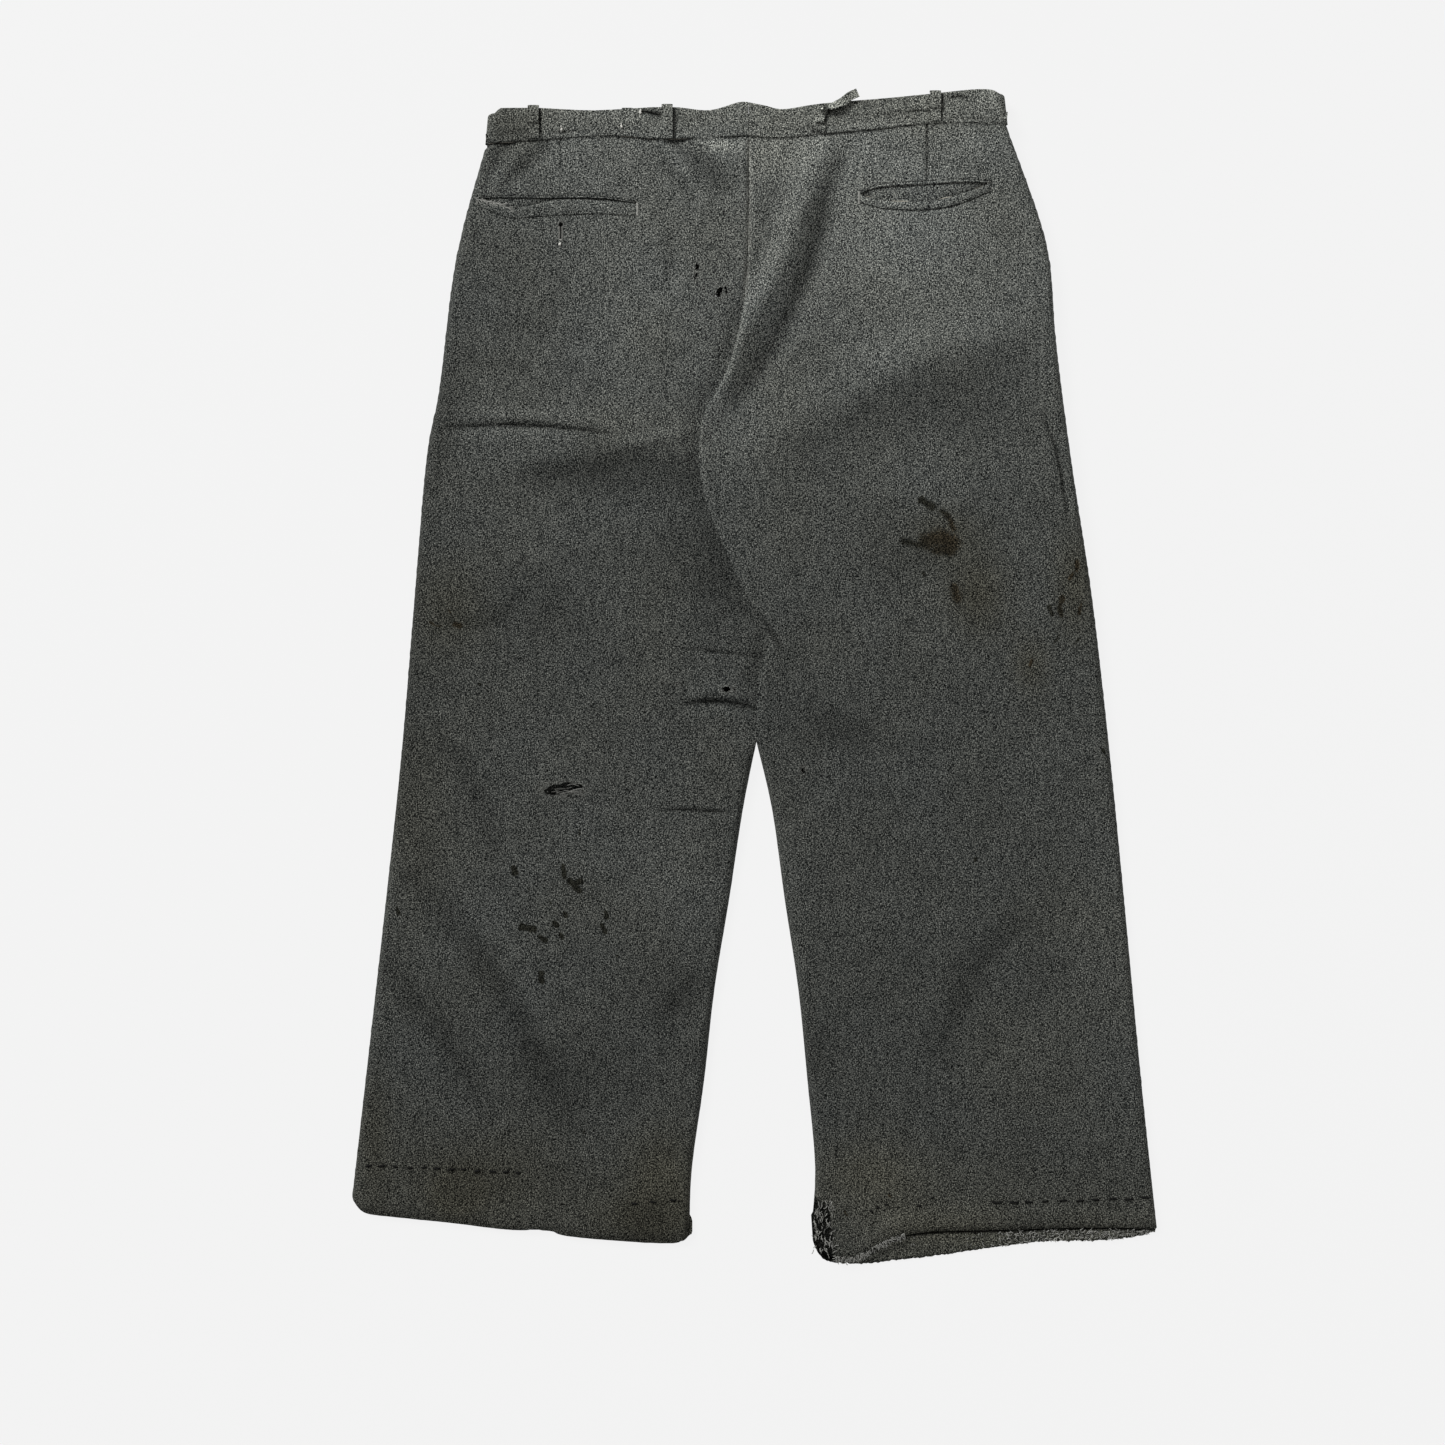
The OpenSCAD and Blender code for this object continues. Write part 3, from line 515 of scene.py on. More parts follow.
def tone_and_shade(side, x, y):
    """Brightness of the cloth and its brown tint, with the painted shade and light of SHADES and painted
    light on rounded edges that face right.
    """
    light = np.interp(y, TONE_Y, TONE)
    tint = 0.18 + 0.25 * ease((-380 - y) / 100) + 0.12 * ease((y - 470) / 20)
    for (mx, my), (rx, ry), factor, brown in SHADES[side]:
        near = np.exp(-(((x - mx) / rx) ** 2) - ((y - my) / ry) ** 2)
        light = light * (1 + (factor - 1) * near)
        tint = tint + brown * near * 0.8
    light = light * (1 + 0.07 * ripple(x, y, 45, 51) + 0.06 * ripple(x, y, 14, 52, 1.8))
    tint = tint + 0.16 * ripple(x, y, 60, 53)
    side_gap = np.abs(x - outer_x[side](y))
    if side == "left":
        light = light * (1 - 0.36 * np.exp(-side_gap / 20) * ease((y + 190) / 150))
    else:
        light = light * (1 + 0.14 * np.exp(-side_gap / 26) * ease((120 - y) / 200))
        # painted light on the rounded right side edge, which turns away from the key light
        light = light * (1 + 0.35 * np.exp(-side_gap / 3))
    inner_gap = np.abs(x - inner_x[side](y))
    # painted light on the left leg's rounded inner edge, which faces right, away from the key light
    light = light * (1 + (0.35 if side == "left" else 0) * np.exp(-inner_gap / 3) * (y < CROTCH_Y))
    return light, clamp(tint)


def cavity(side, x, y):
    """Shade of the cloth inside the torn corner of the right hem, which is in the dark."""
    if side == "left":
        return 1.0
    return 1 - 0.84 * ease((TORN_X - 1 - x) / 3) * ease((TORN_TOP_Y - y) / 6)


def seam_wear(x, y):
    """The worn, pale ridge along the seat seam."""
    gap, _ = to_line(x, y, SEAT_LINE)
    rough = 0.7 + 0.6 * ripple(x, y, 5, 61, 3)
    return (1 - lap(y)) * bump(gap - 0.9, 1.3) * (y > 330) * rough


def stain(side, x, y):
    """1 in the middle of a stain, 0.5 at its edge and 0 outside it."""
    value = np.zeros(len(x))
    wobble = 0.8 * ripple(x, y, 6, 73) + 0.8 * ripple(x, y, 3.5, 71) + 0.5 * ripple(x, y, 2, 72)
    for points, width, strength in STAINS[side]:
        gap, _ = to_line(x, y, points)
        value = np.maximum(value, strength * clamp(1 - (gap + 1.4 * wobble + 0.6) / (2 * width)))
    return value


# ---------------------------------------------------------------- meshes
def vertex_normals(points, triangles):
    """A unit normal at each point."""
    corner = points[triangles]
    faces = np.cross(corner[:, 1] - corner[:, 0], corner[:, 2] - corner[:, 0])
    normals = np.zeros_like(points)
    for k in range(3):
        np.add.at(normals, triangles[:, k], faces)
    return normals / np.maximum(np.linalg.norm(normals, axis=1, keepdims=True), 1e-9)


def border(triangles, count):
    """The edges that only one triangle has, each in its triangle's direction."""
    edges = np.concatenate([triangles[:, [0, 1]], triangles[:, [1, 2]], triangles[:, [2, 0]]])
    key = edges[:, 0] * count + edges[:, 1]
    back = edges[:, 1] * count + edges[:, 0]
    return edges[~np.isin(key, back)]


def thicken(points, triangles, thickness):
    """A closed cloth between the given outer face and an inner one, with each point's outer twin."""
    count = len(points)
    under = points - vertex_normals(points, triangles) * thickness
    rim = border(triangles, count)
    sides = np.concatenate([
        side_by_side(rim[:, 1], rim[:, 0], rim[:, 0] + count),
        side_by_side(rim[:, 1], rim[:, 0] + count, rim[:, 1] + count),
    ])
    faces = np.concatenate([triangles, triangles[:, ::-1] + count, sides])
    return np.concatenate([points, under]), faces, np.tile(np.arange(count), 2)


def new_mesh(name, points, faces, plan=None, values=(), sharp=None):
    """A smooth mesh in metres, with its plan as UVs, values on its points, and sharp edges past an angle."""
    mesh = bpy.data.meshes.new(name)
    faces = np.array(faces)
    mesh.from_pydata((np.array(points) / MM).tolist(), [], faces.tolist())
    if plan is not None:
        layer = mesh.uv_layers.new(name="plan")
        layer.data.foreach_set("uv", (np.array(plan) / MM)[faces.ravel()].ravel().astype(np.float32))
    for label, value in values:
        data = mesh.attributes.new(label, "FLOAT", "POINT").data
        data.foreach_set("value", value.astype(np.float32))
    mesh.polygons.foreach_set("use_smooth", np.ones(len(faces), bool))
    if sharp is not None:
        mesh.set_sharp_from_angle(angle=math.radians(sharp))
    mesh.validate()
    return mesh


class Cloth:
    """Points, triangles and surface values of one piece, which may be several cloths sewn together."""

    def __init__(self):
        self.points, self.faces, self.plan, self.values = [], [], [], []
        self.count = 0

    def add(self, points, triangles, thickness, side, plan=None, wear=None, shade=1.0, inner_shade=None):
        """Adds a cloth under these points. With an inner_shade, for its inner face, it has no stains."""
        points = np.array(points, float)
        x, y = points[:, 0], points[:, 1]
        light, tint = tone_and_shade(side, x, y)
        wear = np.zeros(len(x)) if wear is None else wear
        solid, faces, twin = thicken(points, triangles, thickness)
        plan = points[:, :2] if plan is None else plan
        stained = stain(side, x, y) if inner_shade is None else np.zeros(len(x))
        # the first value is the brightness with its painted shade and light
        values = side_by_side(light * shade, tint, stained, wear)[twin]
        if inner_shade is not None:
            values[len(x):, 0] *= inner_shade[twin[len(x):]]
        self.points.append(solid)
        self.faces.append(faces + self.count)
        self.plan.append(plan[twin])
        self.values.append(values)
        self.count += len(solid)
        return self

    def mesh(self, name):
        values = np.concatenate(self.values).T
        points, faces, plan = (np.concatenate(part) for part in (self.points, self.faces, self.plan))
        return new_mesh(name, points, faces, plan, zip(("tone_and_shade", "tint", "stain", "wear"), values), 55)


def grid_triangles(rows, columns, closed=False):
    """Triangles of a grid of points, whose last column joins the first one if it is closed."""
    faces = []
    for r in range(rows - 1):
        for c in range(columns if closed else columns - 1):
            a = r * columns + c
            b = r * columns + (c + 1) % columns
            faces += [(a, b, b + columns), (a, b + columns, a + columns)]
    return np.array(faces)


def fill(outline, holes, spacing, near=(), fine=2.0):
    """Points and triangles that fill an outline round its holes, closer together near some lines."""
    outline = np.array(outline)
    low, high = outline.min(axis=0), outline.max(axis=0)
    rows = np.arange(low[1], high[1], spacing * 0.87)
    lattice = [(x + (i % 2) * spacing / 2, y) for i, y in enumerate(rows)
               for x in np.arange(low[0], high[0], spacing)]
    points = np.array(lattice)
    points += np.array([(random.random() - 0.5, random.random() - 0.5) for _ in lattice]) * spacing * 0.3
    extra = []
    for line, width in near:
        line = np.array(line, float)
        box_low, box_high = line.min(axis=0) - width, line.max(axis=0) + width
        patch = [(x + (i % 2) * fine / 2, y)
                 for i, y in enumerate(np.arange(box_low[1], box_high[1], fine * 0.87))
                 for x in np.arange(box_low[0], box_high[0], fine)]
        patch = np.array(patch)
        gap, _ = to_line(patch[:, 0], patch[:, 1], line)
        extra.append(patch[gap < width])
        gap, _ = to_line(points[:, 0], points[:, 1], line)
        points = points[gap >= width]
    points = np.concatenate([points, *extra])
    loops = [outline, *[np.array(h) for h in holes]]
    tree = KDTree(sum(len(loop) for loop in loops))
    for i, (x, y) in enumerate(np.concatenate(loops)):
        tree.insert((x, y, 0), i)
    tree.balance()
    keep = inside(points[:, 0], points[:, 1], outline)
    for hole in holes:
        keep &= ~inside(points[:, 0], points[:, 1], hole)
    points = points[keep]
    points = points[[tree.find((x, y, 0))[2] > 0.9 for x, y in points]]
    edges, start = [], 0
    for loop in loops:
        edges += [(start + i, start + (i + 1) % len(loop)) for i in range(len(loop))]
        start += len(loop)
    everything = np.concatenate([*loops, points])
    found, _, faces, *_ = geometry.delaunay_2d_cdt([Vector(p) for p in everything], edges, [], 0, 1e-4)
    found = np.array([v[:] for v in found])
    faces = np.array([f for f in faces if len(f) == 3])
    middle = found[faces].mean(axis=1)
    good = inside(middle[:, 0], middle[:, 1], outline)
    for hole in holes:
        good &= ~inside(middle[:, 0], middle[:, 1], hole)
    faces = faces[good]
    a, b, c = found[faces[:, 0]], found[faces[:, 1]], found[faces[:, 2]]
    area = (b[:, 0] - a[:, 0]) * (c[:, 1] - a[:, 1]) - (b[:, 1] - a[:, 1]) * (c[:, 0] - a[:, 0])
    faces[area < 0] = faces[area < 0][:, ::-1]
    faces = faces[np.abs(area) > 1e-5]
    used, faces = np.unique(faces, return_inverse=True)
    return found[used], faces.reshape(-1, 3)


def node_outline(node, rows, inset, step, count):
    """The outline of a CAD node in plan, drawn in at both sides, as evenly spaced points."""
    left_edge, right_edge = reach([node], 1, min, step), reach([node], 1, max, step)
    left, right = side_by_side(left_edge(rows) + inset, rows), side_by_side(right_edge(rows) - inset, rows)
    return resample(closed(np.concatenate([left, right[::-1]])), count)[:-1]


# ---------------------------------------------------------------- materials
def node_link(tree, kind, inputs=(), **settings):
    """A new node with these settings, its inputs set to values or joined to sockets."""
    node = tree.nodes.new(kind)
    for key, value in settings.items():
        setattr(node, key, value)
    for socket, value in dict(inputs).items():
        if isinstance(value, bpy.types.NodeSocket):
            tree.links.new(value, node.inputs[socket])
        else:
            node.inputs[socket].default_value = value
    return node


def math_node(tree, operation, a, b=0.5):
    """The result of one operation on two values or sockets."""
    return node_link(tree, "ShaderNodeMath", {0: a, 1: b}, operation=operation).outputs[0]


def mix_colour(tree, share, a, b):
    """A colour between two colours."""
    node = node_link(tree, "ShaderNodeMix", {0: share, 6: a, 7: b}, data_type="RGBA")
    return node.outputs[2]


def attribute(tree, name):
    """A value that the mesh holds on its points."""
    return node_link(tree, "ShaderNodeAttribute", attribute_name=name).outputs["Fac"]


def streaks(tree, plan, across, along, detail, seed, turn=0.0):
    """Noise with streaks of this width and length in millimetres, on the cloth's own plan."""
    spread = node_link(tree, "ShaderNodeMapping", {0: plan}, vector_type="POINT")
    spread.inputs["Location"].default_value = (seed, seed * 1.7, 0)
    spread.inputs["Rotation"].default_value = (0, 0, turn)
    spread.inputs["Scale"].default_value = (MM / across, MM / along, 1)
    node = node_link(tree, "ShaderNodeTexNoise", {"Vector": spread.outputs[0]}, noise_dimensions="2D")
    node.inputs["Scale"].default_value = 1
    node.inputs["Detail"].default_value = detail
    node.inputs["Roughness"].default_value = 0.62
    return node.outputs["Fac"]


def ramp(tree, value, low, high, out_low=0.0, out_high=1.0):
    node = node_link(tree, "ShaderNodeMapRange", {0: value, 1: low, 2: high, 3: out_low, 4: out_high})
    return node.outputs[0]


def new_material(name, roughness, shine=0.06):
    """A material with its node tree and shader."""
    material = bpy.data.materials.new(name)
    material.use_nodes = True
    tree = material.node_tree
    shader = tree.nodes["Principled BSDF"]
    shader.inputs["Roughness"].default_value = roughness
    shader.inputs["Specular IOR Level"].default_value = shine
    shader.inputs["Sheen Roughness"].default_value = 0.6
    return material, tree, shader


def grey_cloth():
    """Salt-and-pepper cotton: pale and dark yarn in short streaks, faded, tinted and stained, with the
    painted shade and light that the mesh holds.
    """
    material, tree, shader = new_material("marled_grey_cloth", 0.95)
    plan = node_link(tree, "ShaderNodeUVMap", uv_map="plan").outputs[0]
    light = attribute(tree, "tone_and_shade")
    warp = streaks(tree, plan, 0.85, 2.6, 1.0, 3.1)
    weft = streaks(tree, plan, 2.0, 0.9, 1.0, 7.7, 0.35)
    speck = streaks(tree, plan, 0.85, 1.2, 1.0, 12.3)
    slub = streaks(tree, plan, 5.0, 15.0, 2.0, 17.9)
    marl = math_node(tree, "ADD", ramp(tree, warp, 0.30, 0.70), ramp(tree, weft, 0.30, 0.70))
    marl = math_node(tree, "ADD", marl, ramp(tree, speck, 0.30, 0.70))
    marl = math_node(tree, "ADD", marl, math_node(tree, "MULTIPLY", slub, 0.8))
    level = ramp(tree, marl, 1.18, 2.56, 0.18, 1.57)
    fleck = ramp(tree, speck, 0.60, 0.74, 0.0, 0.72)
    level = math_node(tree, "ADD", level, fleck)
    level = math_node(tree, "MULTIPLY", level, level)
    grey = math_node(tree, "MULTIPLY", light, level)
    red = ramp(tree, level, 0.3, 1.7, 0.87, 0.965)
    blue = ramp(tree, level, 0.3, 1.7, 1.01, 0.935)
    cool = node_link(tree, "ShaderNodeCombineColor", {0: math_node(tree, "MULTIPLY", grey, red), 1: grey,
                                                      2: math_node(tree, "MULTIPLY", grey, blue)}).outputs[0]
    warm = node_link(tree, "ShaderNodeCombineColor", {0: math_node(tree, "MULTIPLY", grey, 1.01),
                                                      1: math_node(tree, "MULTIPLY", grey, 0.99),
                                                      2: math_node(tree, "MULTIPLY", grey, 0.78)}).outputs[0]
    colour = mix_colour(tree, attribute(tree, "tint"), cool, warm)
    pale = mix_colour(tree, attribute(tree, "wear"), colour, (0.24, 0.235, 0.21, 1))
    blot = math_node(tree, "ADD", attribute(tree, "stain"),
                     math_node(tree, "MULTIPLY", math_node(tree, "SUBTRACT", warp, 0.5), 0.35))
    stained = ramp(tree, blot, 0.38, 0.52, 0.0, 0.96)
    inky = node_link(tree, "ShaderNodeCombineColor", {0: math_node(tree, "MULTIPLY", grey, 0.20),
                                                      1: math_node(tree, "MULTIPLY", grey, 0.20),
                                                      2: math_node(tree, "MULTIPLY", grey, 0.15)}).outputs[0]
    brown = node_link(tree, "ShaderNodeCombineColor", {0: math_node(tree, "MULTIPLY", grey, 0.46),
                                                       1: math_node(tree, "MULTIPLY", grey, 0.36),
                                                       2: math_node(tree, "MULTIPLY", grey, 0.22)}).outputs[0]
    soaked = mix_colour(tree, ramp(tree, attribute(tree, "tint"), 0.35, 0.75), inky, brown)
    colour = mix_colour(tree, stained, pale, soaked)
    tree.links.new(colour, shader.inputs["Base Color"])
    height = math_node(tree, "ADD", marl, math_node(tree, "MULTIPLY", slub, 0.6))
    bump = node_link(tree, "ShaderNodeBump", {"Height": height, "Strength": 0.55, "Distance": 0.0004})
    tree.links.new(bump.outputs[0], shader.inputs["Normal"])
    return material


def plain_weave(name, colour, roughness, fade=0.16):
    """A plain cotton weave with uneven yarn, for pocketing, thread and the like."""
    material, tree, shader = new_material(name, roughness)
    plan = node_link(tree, "ShaderNodeUVMap", uv_map="plan").outputs[0]
    yarn = streaks(tree, plan, 0.8, 3.2, 2.0, 2.2)
    cross = streaks(tree, plan, 3.2, 0.8, 2.0, 5.2)
    soil = streaks(tree, plan, 22, 30, 3.0, 9.4)
    level = math_node(tree, "ADD", yarn, cross)
    level = math_node(tree, "ADD", level, soil)
    dark = tuple(c * (1 - 2 * fade) for c in colour) + (1,)
    bright = tuple(min(1, c * (1 + fade)) for c in colour) + (1,)
    tree.links.new(mix_colour(tree, ramp(tree, level, 1.1, 1.9), dark, bright), shader.inputs["Base Color"])
    bump = node_link(tree, "ShaderNodeBump", {"Height": level, "Strength": 0.4, "Distance": 0.0002})
    tree.links.new(bump.outputs[0], shader.inputs["Normal"])
    return material


def button_material():
    """Dark pressed button stuff with fine marbling and scuffs."""
    material, tree, shader = new_material("dark_button", 0.42, shine=0.4)
    place = node_link(tree, "ShaderNodeTexCoord").outputs["Object"]
    marble = node_link(tree, "ShaderNodeTexNoise", {"Vector": place, "Scale": 260.0, "Detail": 4.0})
    scuff = node_link(tree, "ShaderNodeTexNoise", {"Vector": place, "Scale": 900.0, "Detail": 3.0})
    share = ramp(tree, marble.outputs["Fac"], 0.35, 0.7)
    tree.links.new(mix_colour(tree, share, (0.012, 0.010, 0.009, 1), (0.045, 0.036, 0.028, 1)),
                   shader.inputs["Base Color"])
    tree.links.new(ramp(tree, scuff.outputs["Fac"], 0.3, 0.7, 0.32, 0.58), shader.inputs["Roughness"])
    scratches = {"Height": scuff.outputs["Fac"], "Strength": 0.2, "Distance": 0.0002}
    bump = node_link(tree, "ShaderNodeBump", scratches)
    tree.links.new(bump.outputs[0], shader.inputs["Normal"])
    return material


CLOTH_LOOK = grey_cloth()
LINING_LOOK = plain_weave("cotton_pocketing", (0.50, 0.47, 0.40), 0.9)
PALE_LOOK = plain_weave("pale_thread", (0.72, 0.71, 0.66), 0.85, 0.08)
GREY_LOOK = plain_weave("grey_thread", (0.20, 0.20, 0.185), 0.88)
WORN_LOOK = plain_weave("worn_thread", (0.34, 0.34, 0.315), 0.88)
DARK_LOOK = plain_weave("dark_thread", (0.010, 0.010, 0.010), 0.8)
BUTTON_LOOK = button_material()


# ---------------------------------------------------------------- pieces
def piece(name, mesh, look, body, nodes=()):
    """One visible piece attached to its body, or with its place baked into its mesh where body names a bend
    between the seat and a leg.
    """
    obj = bpy.data.objects.new(name, mesh)
    bpy.context.scene.collection.objects.link(obj)
    mesh.materials.append(look)
    if body.startswith("bend_"):
        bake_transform(obj)
    else:
        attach(obj, body)
    if nodes:
        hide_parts(*nodes)
    return obj


def oval(middle, size, turn, count=22, rough=0.22, seed=0):
    """The ragged outline of a hole."""
    points = []
    for i in range(count):
        a = 2 * math.pi * i / count
        r = 1 + rough * noise.noise((3 * math.cos(a), 3 * math.sin(a), seed))
        px, py = size[0] * r * math.cos(a), size[1] * r * math.sin(a)
        t = math.radians(turn)
        points.append((middle[0] + px * math.cos(t) - py * math.sin(t),
                       middle[1] + px * math.sin(t) + py * math.cos(t)))
    return points


def fray(x, amount, seed):
    """Ragged teeth along an edge."""
    return amount * (ripple(x, x * 0, 3.1, seed) + 0.6 * ripple(x, x * 0, 1.4, seed + 1))


def back_outline(side):
    """The edge of one back panel: down the side, along the hem, up the leg and seat, along the waist."""
    sign = SIDES[side]
    rows = np.arange(side_top_y[side], -600, -3.0)
    widest = rows[np.argmax(sign * outer_x[side](rows))]
    rows = rows[rows >= widest]
    down = side_by_side(outer_x[side](rows) + 0.25 * ripple(rows, rows, 9, 81 + sign), rows)
    inner_end = TORN_X if side == "right" else EAR_X - 0.7
    hem_columns = np.linspace(outer_x[side](widest) - sign * 1.0, inner_end, 220)
    hem = hem_y[side](hem_columns) + 0.35 * ripple(hem_columns, hem_columns, 13, 84)
    if side == "right":
        torn = ease((134 - hem_columns) / 10)
        hem = hem + torn * fray(hem_columns, 1.8, 85) + torn * 0.8
    else:
        hem = hem + 1.8 * bump(hem_columns + 194, 5)
        hem = np.where(hem_columns > -66, -497.6 + 6 * ease((hem_columns + 63) / 8), hem)
    rows = np.arange(hem[-1] + 2.5, SEAT_TOP_Y, 3.0)
    inner = inner_x[side](rows) + 0.2 * ripple(rows, rows, 11, 87 + sign) * (rows < CROTCH_Y)
    if side == "left":
        inner = inner + 13 * lap(rows) * ease((rows - CROTCH_Y - 4) / 40) - 0.1 * (rows > CROTCH_Y)
        ear = ease((-474 - rows) / 5) * ease((rows + 497) / 7)
        inner = inner + ear * (EAR_X - inner)
    else:
        torn = ease((TORN_TOP_Y - rows) / 9) * (1 + 0.10 * ripple(rows, rows * 0, 5, 88))
        inner = inner + 0.1 * (rows > CROTCH_Y) + torn * (66 - 0.14 * (rows + 466) - inner)
    up = side_by_side(inner, rows)
    columns = np.linspace(inner_x[side](SEAT_TOP_Y), outer_x[side](side_top_y[side]), 60)
    waist = side_by_side(columns, band_low_y[side](columns) + TUCK)
    return np.concatenate([down, side_by_side(hem_columns, hem), up, waist])


# Lips of the back pockets, from the wearer's left to right
LEFT_UPPER_LIP = smooth_line([(-240, 420.6), (-225, 422), (-180, 422.0), (-136, 421.5), (-104, 417)])
LEFT_LOWER_LIP = smooth_line([(-240, 418.6), (-228, 415.6), (-213, 411.6), (-196, 414.2), (-176, 418.6),
                              (-140, 418.4), (-104, 415.6)])
LEFT_WELT_FOOT = smooth_line([(-240, 413), (-215, 403.5), (-180, 405), (-140, 406.5), (-104, 405.2)])
RIGHT_UPPER_LIP = smooth_line([
    (93, 425.6), (105, 430.6), (122, 433.4), (155, 435.4), (182, 436.6), (208, 435.2),
])
RIGHT_LOWER_LIP = smooth_line([(93, 424), (105, 420), (120, 417.6), (141, 417.2), (160, 418.6), (180, 423.4),
                               (196, 429), (208, 434)])
RIGHT_WELT_FOOT = smooth_line([(93, 417), (113, 411.6), (141, 410.3), (157, 411), (180, 415.5), (208, 427)])
LIPS = {
    "left": (LEFT_UPPER_LIP, LEFT_LOWER_LIP, LEFT_WELT_FOOT),
    "right": (RIGHT_UPPER_LIP, RIGHT_LOWER_LIP, RIGHT_WELT_FOOT),
}
BUTTONHOLE = (-170.0, 397.5, 13.0)  # eye's middle and the slit's length
DARTS = {"left": (-169.6, 470, 423), "right": (152.2, 484, 436)}  # X, and Y of the upper and lower end


def buttonhole_outline():
    """The slit below the left back pocket."""
    x, y, length = BUTTONHOLE
    eye = [(x + 2.0 * math.cos(a), y + 2.2 * math.sin(a)) for a in np.linspace(-0.9, math.pi + 0.9, 12)]
    return eye + [(x - 0.6, y - 4), (x - 0.5, y - length), (x + 0.5, y - length), (x + 0.6, y - 4)]


def mouth_outline(side):
    """The opening between the lips of a back pocket."""
    upper, lower, _ = LIPS[side]
    return np.concatenate([upper, lower[::-1][1:-1]])


def unrolled(side, x, y, z):
    """Places on the flat cloth, which runs further out where the cloth turns down at its sides."""
    plan = side_by_side(x, y)
    for edge, out in ((outer_x[side], SIDES[side]), (inner_x[side], -SIDES[side])):
        near = np.abs(x - edge(y)) < EDGE_R + 1
        if out != SIDES[side]:
            near &= y < CROTCH_Y
        flat = back_height(side, edge(y[near]) - out * (EDGE_R + 1), y[near])
        plan[near, 0] += out * np.maximum(flat - z[near], 0)
    return plan


def back_cloth(side):
    """The back of one side, from the waistband to the hem, with its holes and the pocket's mouth."""
    holes = [oval(*h, seed=i) for i, h in enumerate(HOLES[side])]
    holes.append(mouth_outline(side))
    if side == "left":
        holes.append(buttonhole_outline())
    near = [(smooth_line(p, 3), max(4.0, 2.2 * w)) for p, w, _ in FOLDS[side] if w < 5]
    near += [(np.array(p, float), w + 3) for p, w, _ in STAINS[side]]
    near += [(np.array([h[0], (h[0][0] + 0.1, h[0][1])], float), max(h[1]) + 3) for h in HOLES[side]]
    near += [(np.array([(sx - half, sy), (sx + half, sy)]), 3) for sx, sy, half in STITCHES[side]]
    near += [(LIPS[side][0], 4), (LIPS[side][2], 4), (SEAT_LINE[::3], 9)]
    dart_x, dart_top, dart_low = DARTS[side]
    near.append((np.array([(dart_x, dart_low), (dart_x, dart_top)], float), 5))
    under_band = np.linspace(inner_x[side](SEAT_TOP_Y), outer_x[side](side_top_y[side]), 20)
    near.append((side_by_side(under_band, band_low_y[side](under_band) - 0.5), 3))
    outline = back_outline(side)
    plan, faces = fill(outline, holes, 4.2, near)
    x, y = plan[:, 0], plan[:, 1]
    z = back_height(side, x, y)
    gap, _ = to_line(x, y, LIPS[side][2])
    z -= (0.9 if side == "right" else 0.5) * bump(gap, 1.1)
    dart_gap = np.abs(x - dart_x)
    dart = ease((y - dart_low + 4) / 8) * (1.0 if side == "right" else 0.6)
    z += dart * (0.9 * bump(dart_gap - 3, 2.2) - 1.7 * bump(dart_gap, 1.0))
    # painted shade from here on: in the dart's groove, along the pocket's lips and welt foot, in the folds,
    # under the waistband's edge and in dimples round the hem stitches
    shade = 1 - (0.7 if side == "right" else 0.3) * dart * bump(dart_gap, 0.9)
    upper, lower, foot = LIPS[side]
    foot_depth = 0.45 if side == "right" else 0.25
    for line, width, depth in ((upper, 1.2, 0.92), (lower, 1.1, 0.75), (foot, 0.9, foot_depth)):
        gap, _ = to_line(x, y, line)
        shade *= 1 - depth * bump(gap, width)
    shade *= fold_shade(x, y, FOLDS[side])
    band_gap = y - band_low_y[side](x) - 0.3
    shade *= 1 - (0.6 + 0.3 * ripple(x, y, 16, 83)) * bump(band_gap + 0.5, 0.9)
    for sx, sy, half in STITCHES[side]:
        shade *= 1 - 0.6 * np.exp(-(((x - sx) / (half + 0.6)) ** 4) - ((y - sy) / 1.3) ** 2)
    wear = clamp(seam_wear(x, y)) * 0.34
    for middle, size, _ in HOLES[side]:
        rim = np.hypot((x - middle[0]) / (size[0] + 1.2), (y - middle[1]) / (size[1] + 1.2))
        wear = wear + 0.10 * np.exp(-((rim - 1) ** 2) * 8)
    cloth = Cloth().add(side_by_side(x, y, z), faces, CLOTH, side, unrolled(side, x, y, z), wear, shade)
    width, length = np.ptp(outline[:, 0]), np.ptp(outline[:, 1])
    piece(f"{side}_back_cloth", cloth.mesh("back"), CLOTH_LOOK, f"bend_{side}_leg", BACK[side])


def front_outline(side):
    """The outline of a front cloth, which lies under the back one."""
    sign = SIDES[side]
    rows = np.arange(side_top_y[side], -600, -5.0)
    widest = rows[np.argmax(sign * outer_x[side](rows))]
    rows = rows[rows >= widest]
    down = side_by_side(outer_x[side](rows), rows)
    inner_end = inner_x[side](inseam_low_y[side] + 1) + sign * 0.6
    columns = np.linspace(outer_x[side](widest) - sign * 1.0, inner_end, 220)
    hem = front_hem_y[side](columns) + 0.3 * ripple(columns, columns, 15, 91)
    if side == "right":
        hem = hem + fray(columns, 1.5, 92)
    rows = np.arange(hem[-1] + 3, CROTCH_Y, 4.0)
    legs = side_by_side(inner_x[side](rows), rows)
    fly_low = corners("fly_overlap")[0][1]
    rows = np.concatenate([np.arange(CROTCH_Y, fly_low - 0.5, 4.0), [fly_low - 0.5]])
    rise = side_by_side(front_inner_x[side](rows), rows)
    rows = np.arange(fly_low, SEAT_TOP_Y, 4.0)
    fly = side_by_side(front_inner_x[side](rows + 1), rows)
    waist_columns = np.linspace(fly[-1][0], outer_x[side](side_top_y[side]), 50)
    waist = side_by_side(waist_columns, band_low_y[side](waist_columns) + TUCK)
    return np.concatenate([down, side_by_side(columns, hem), legs, rise, fly, waist])


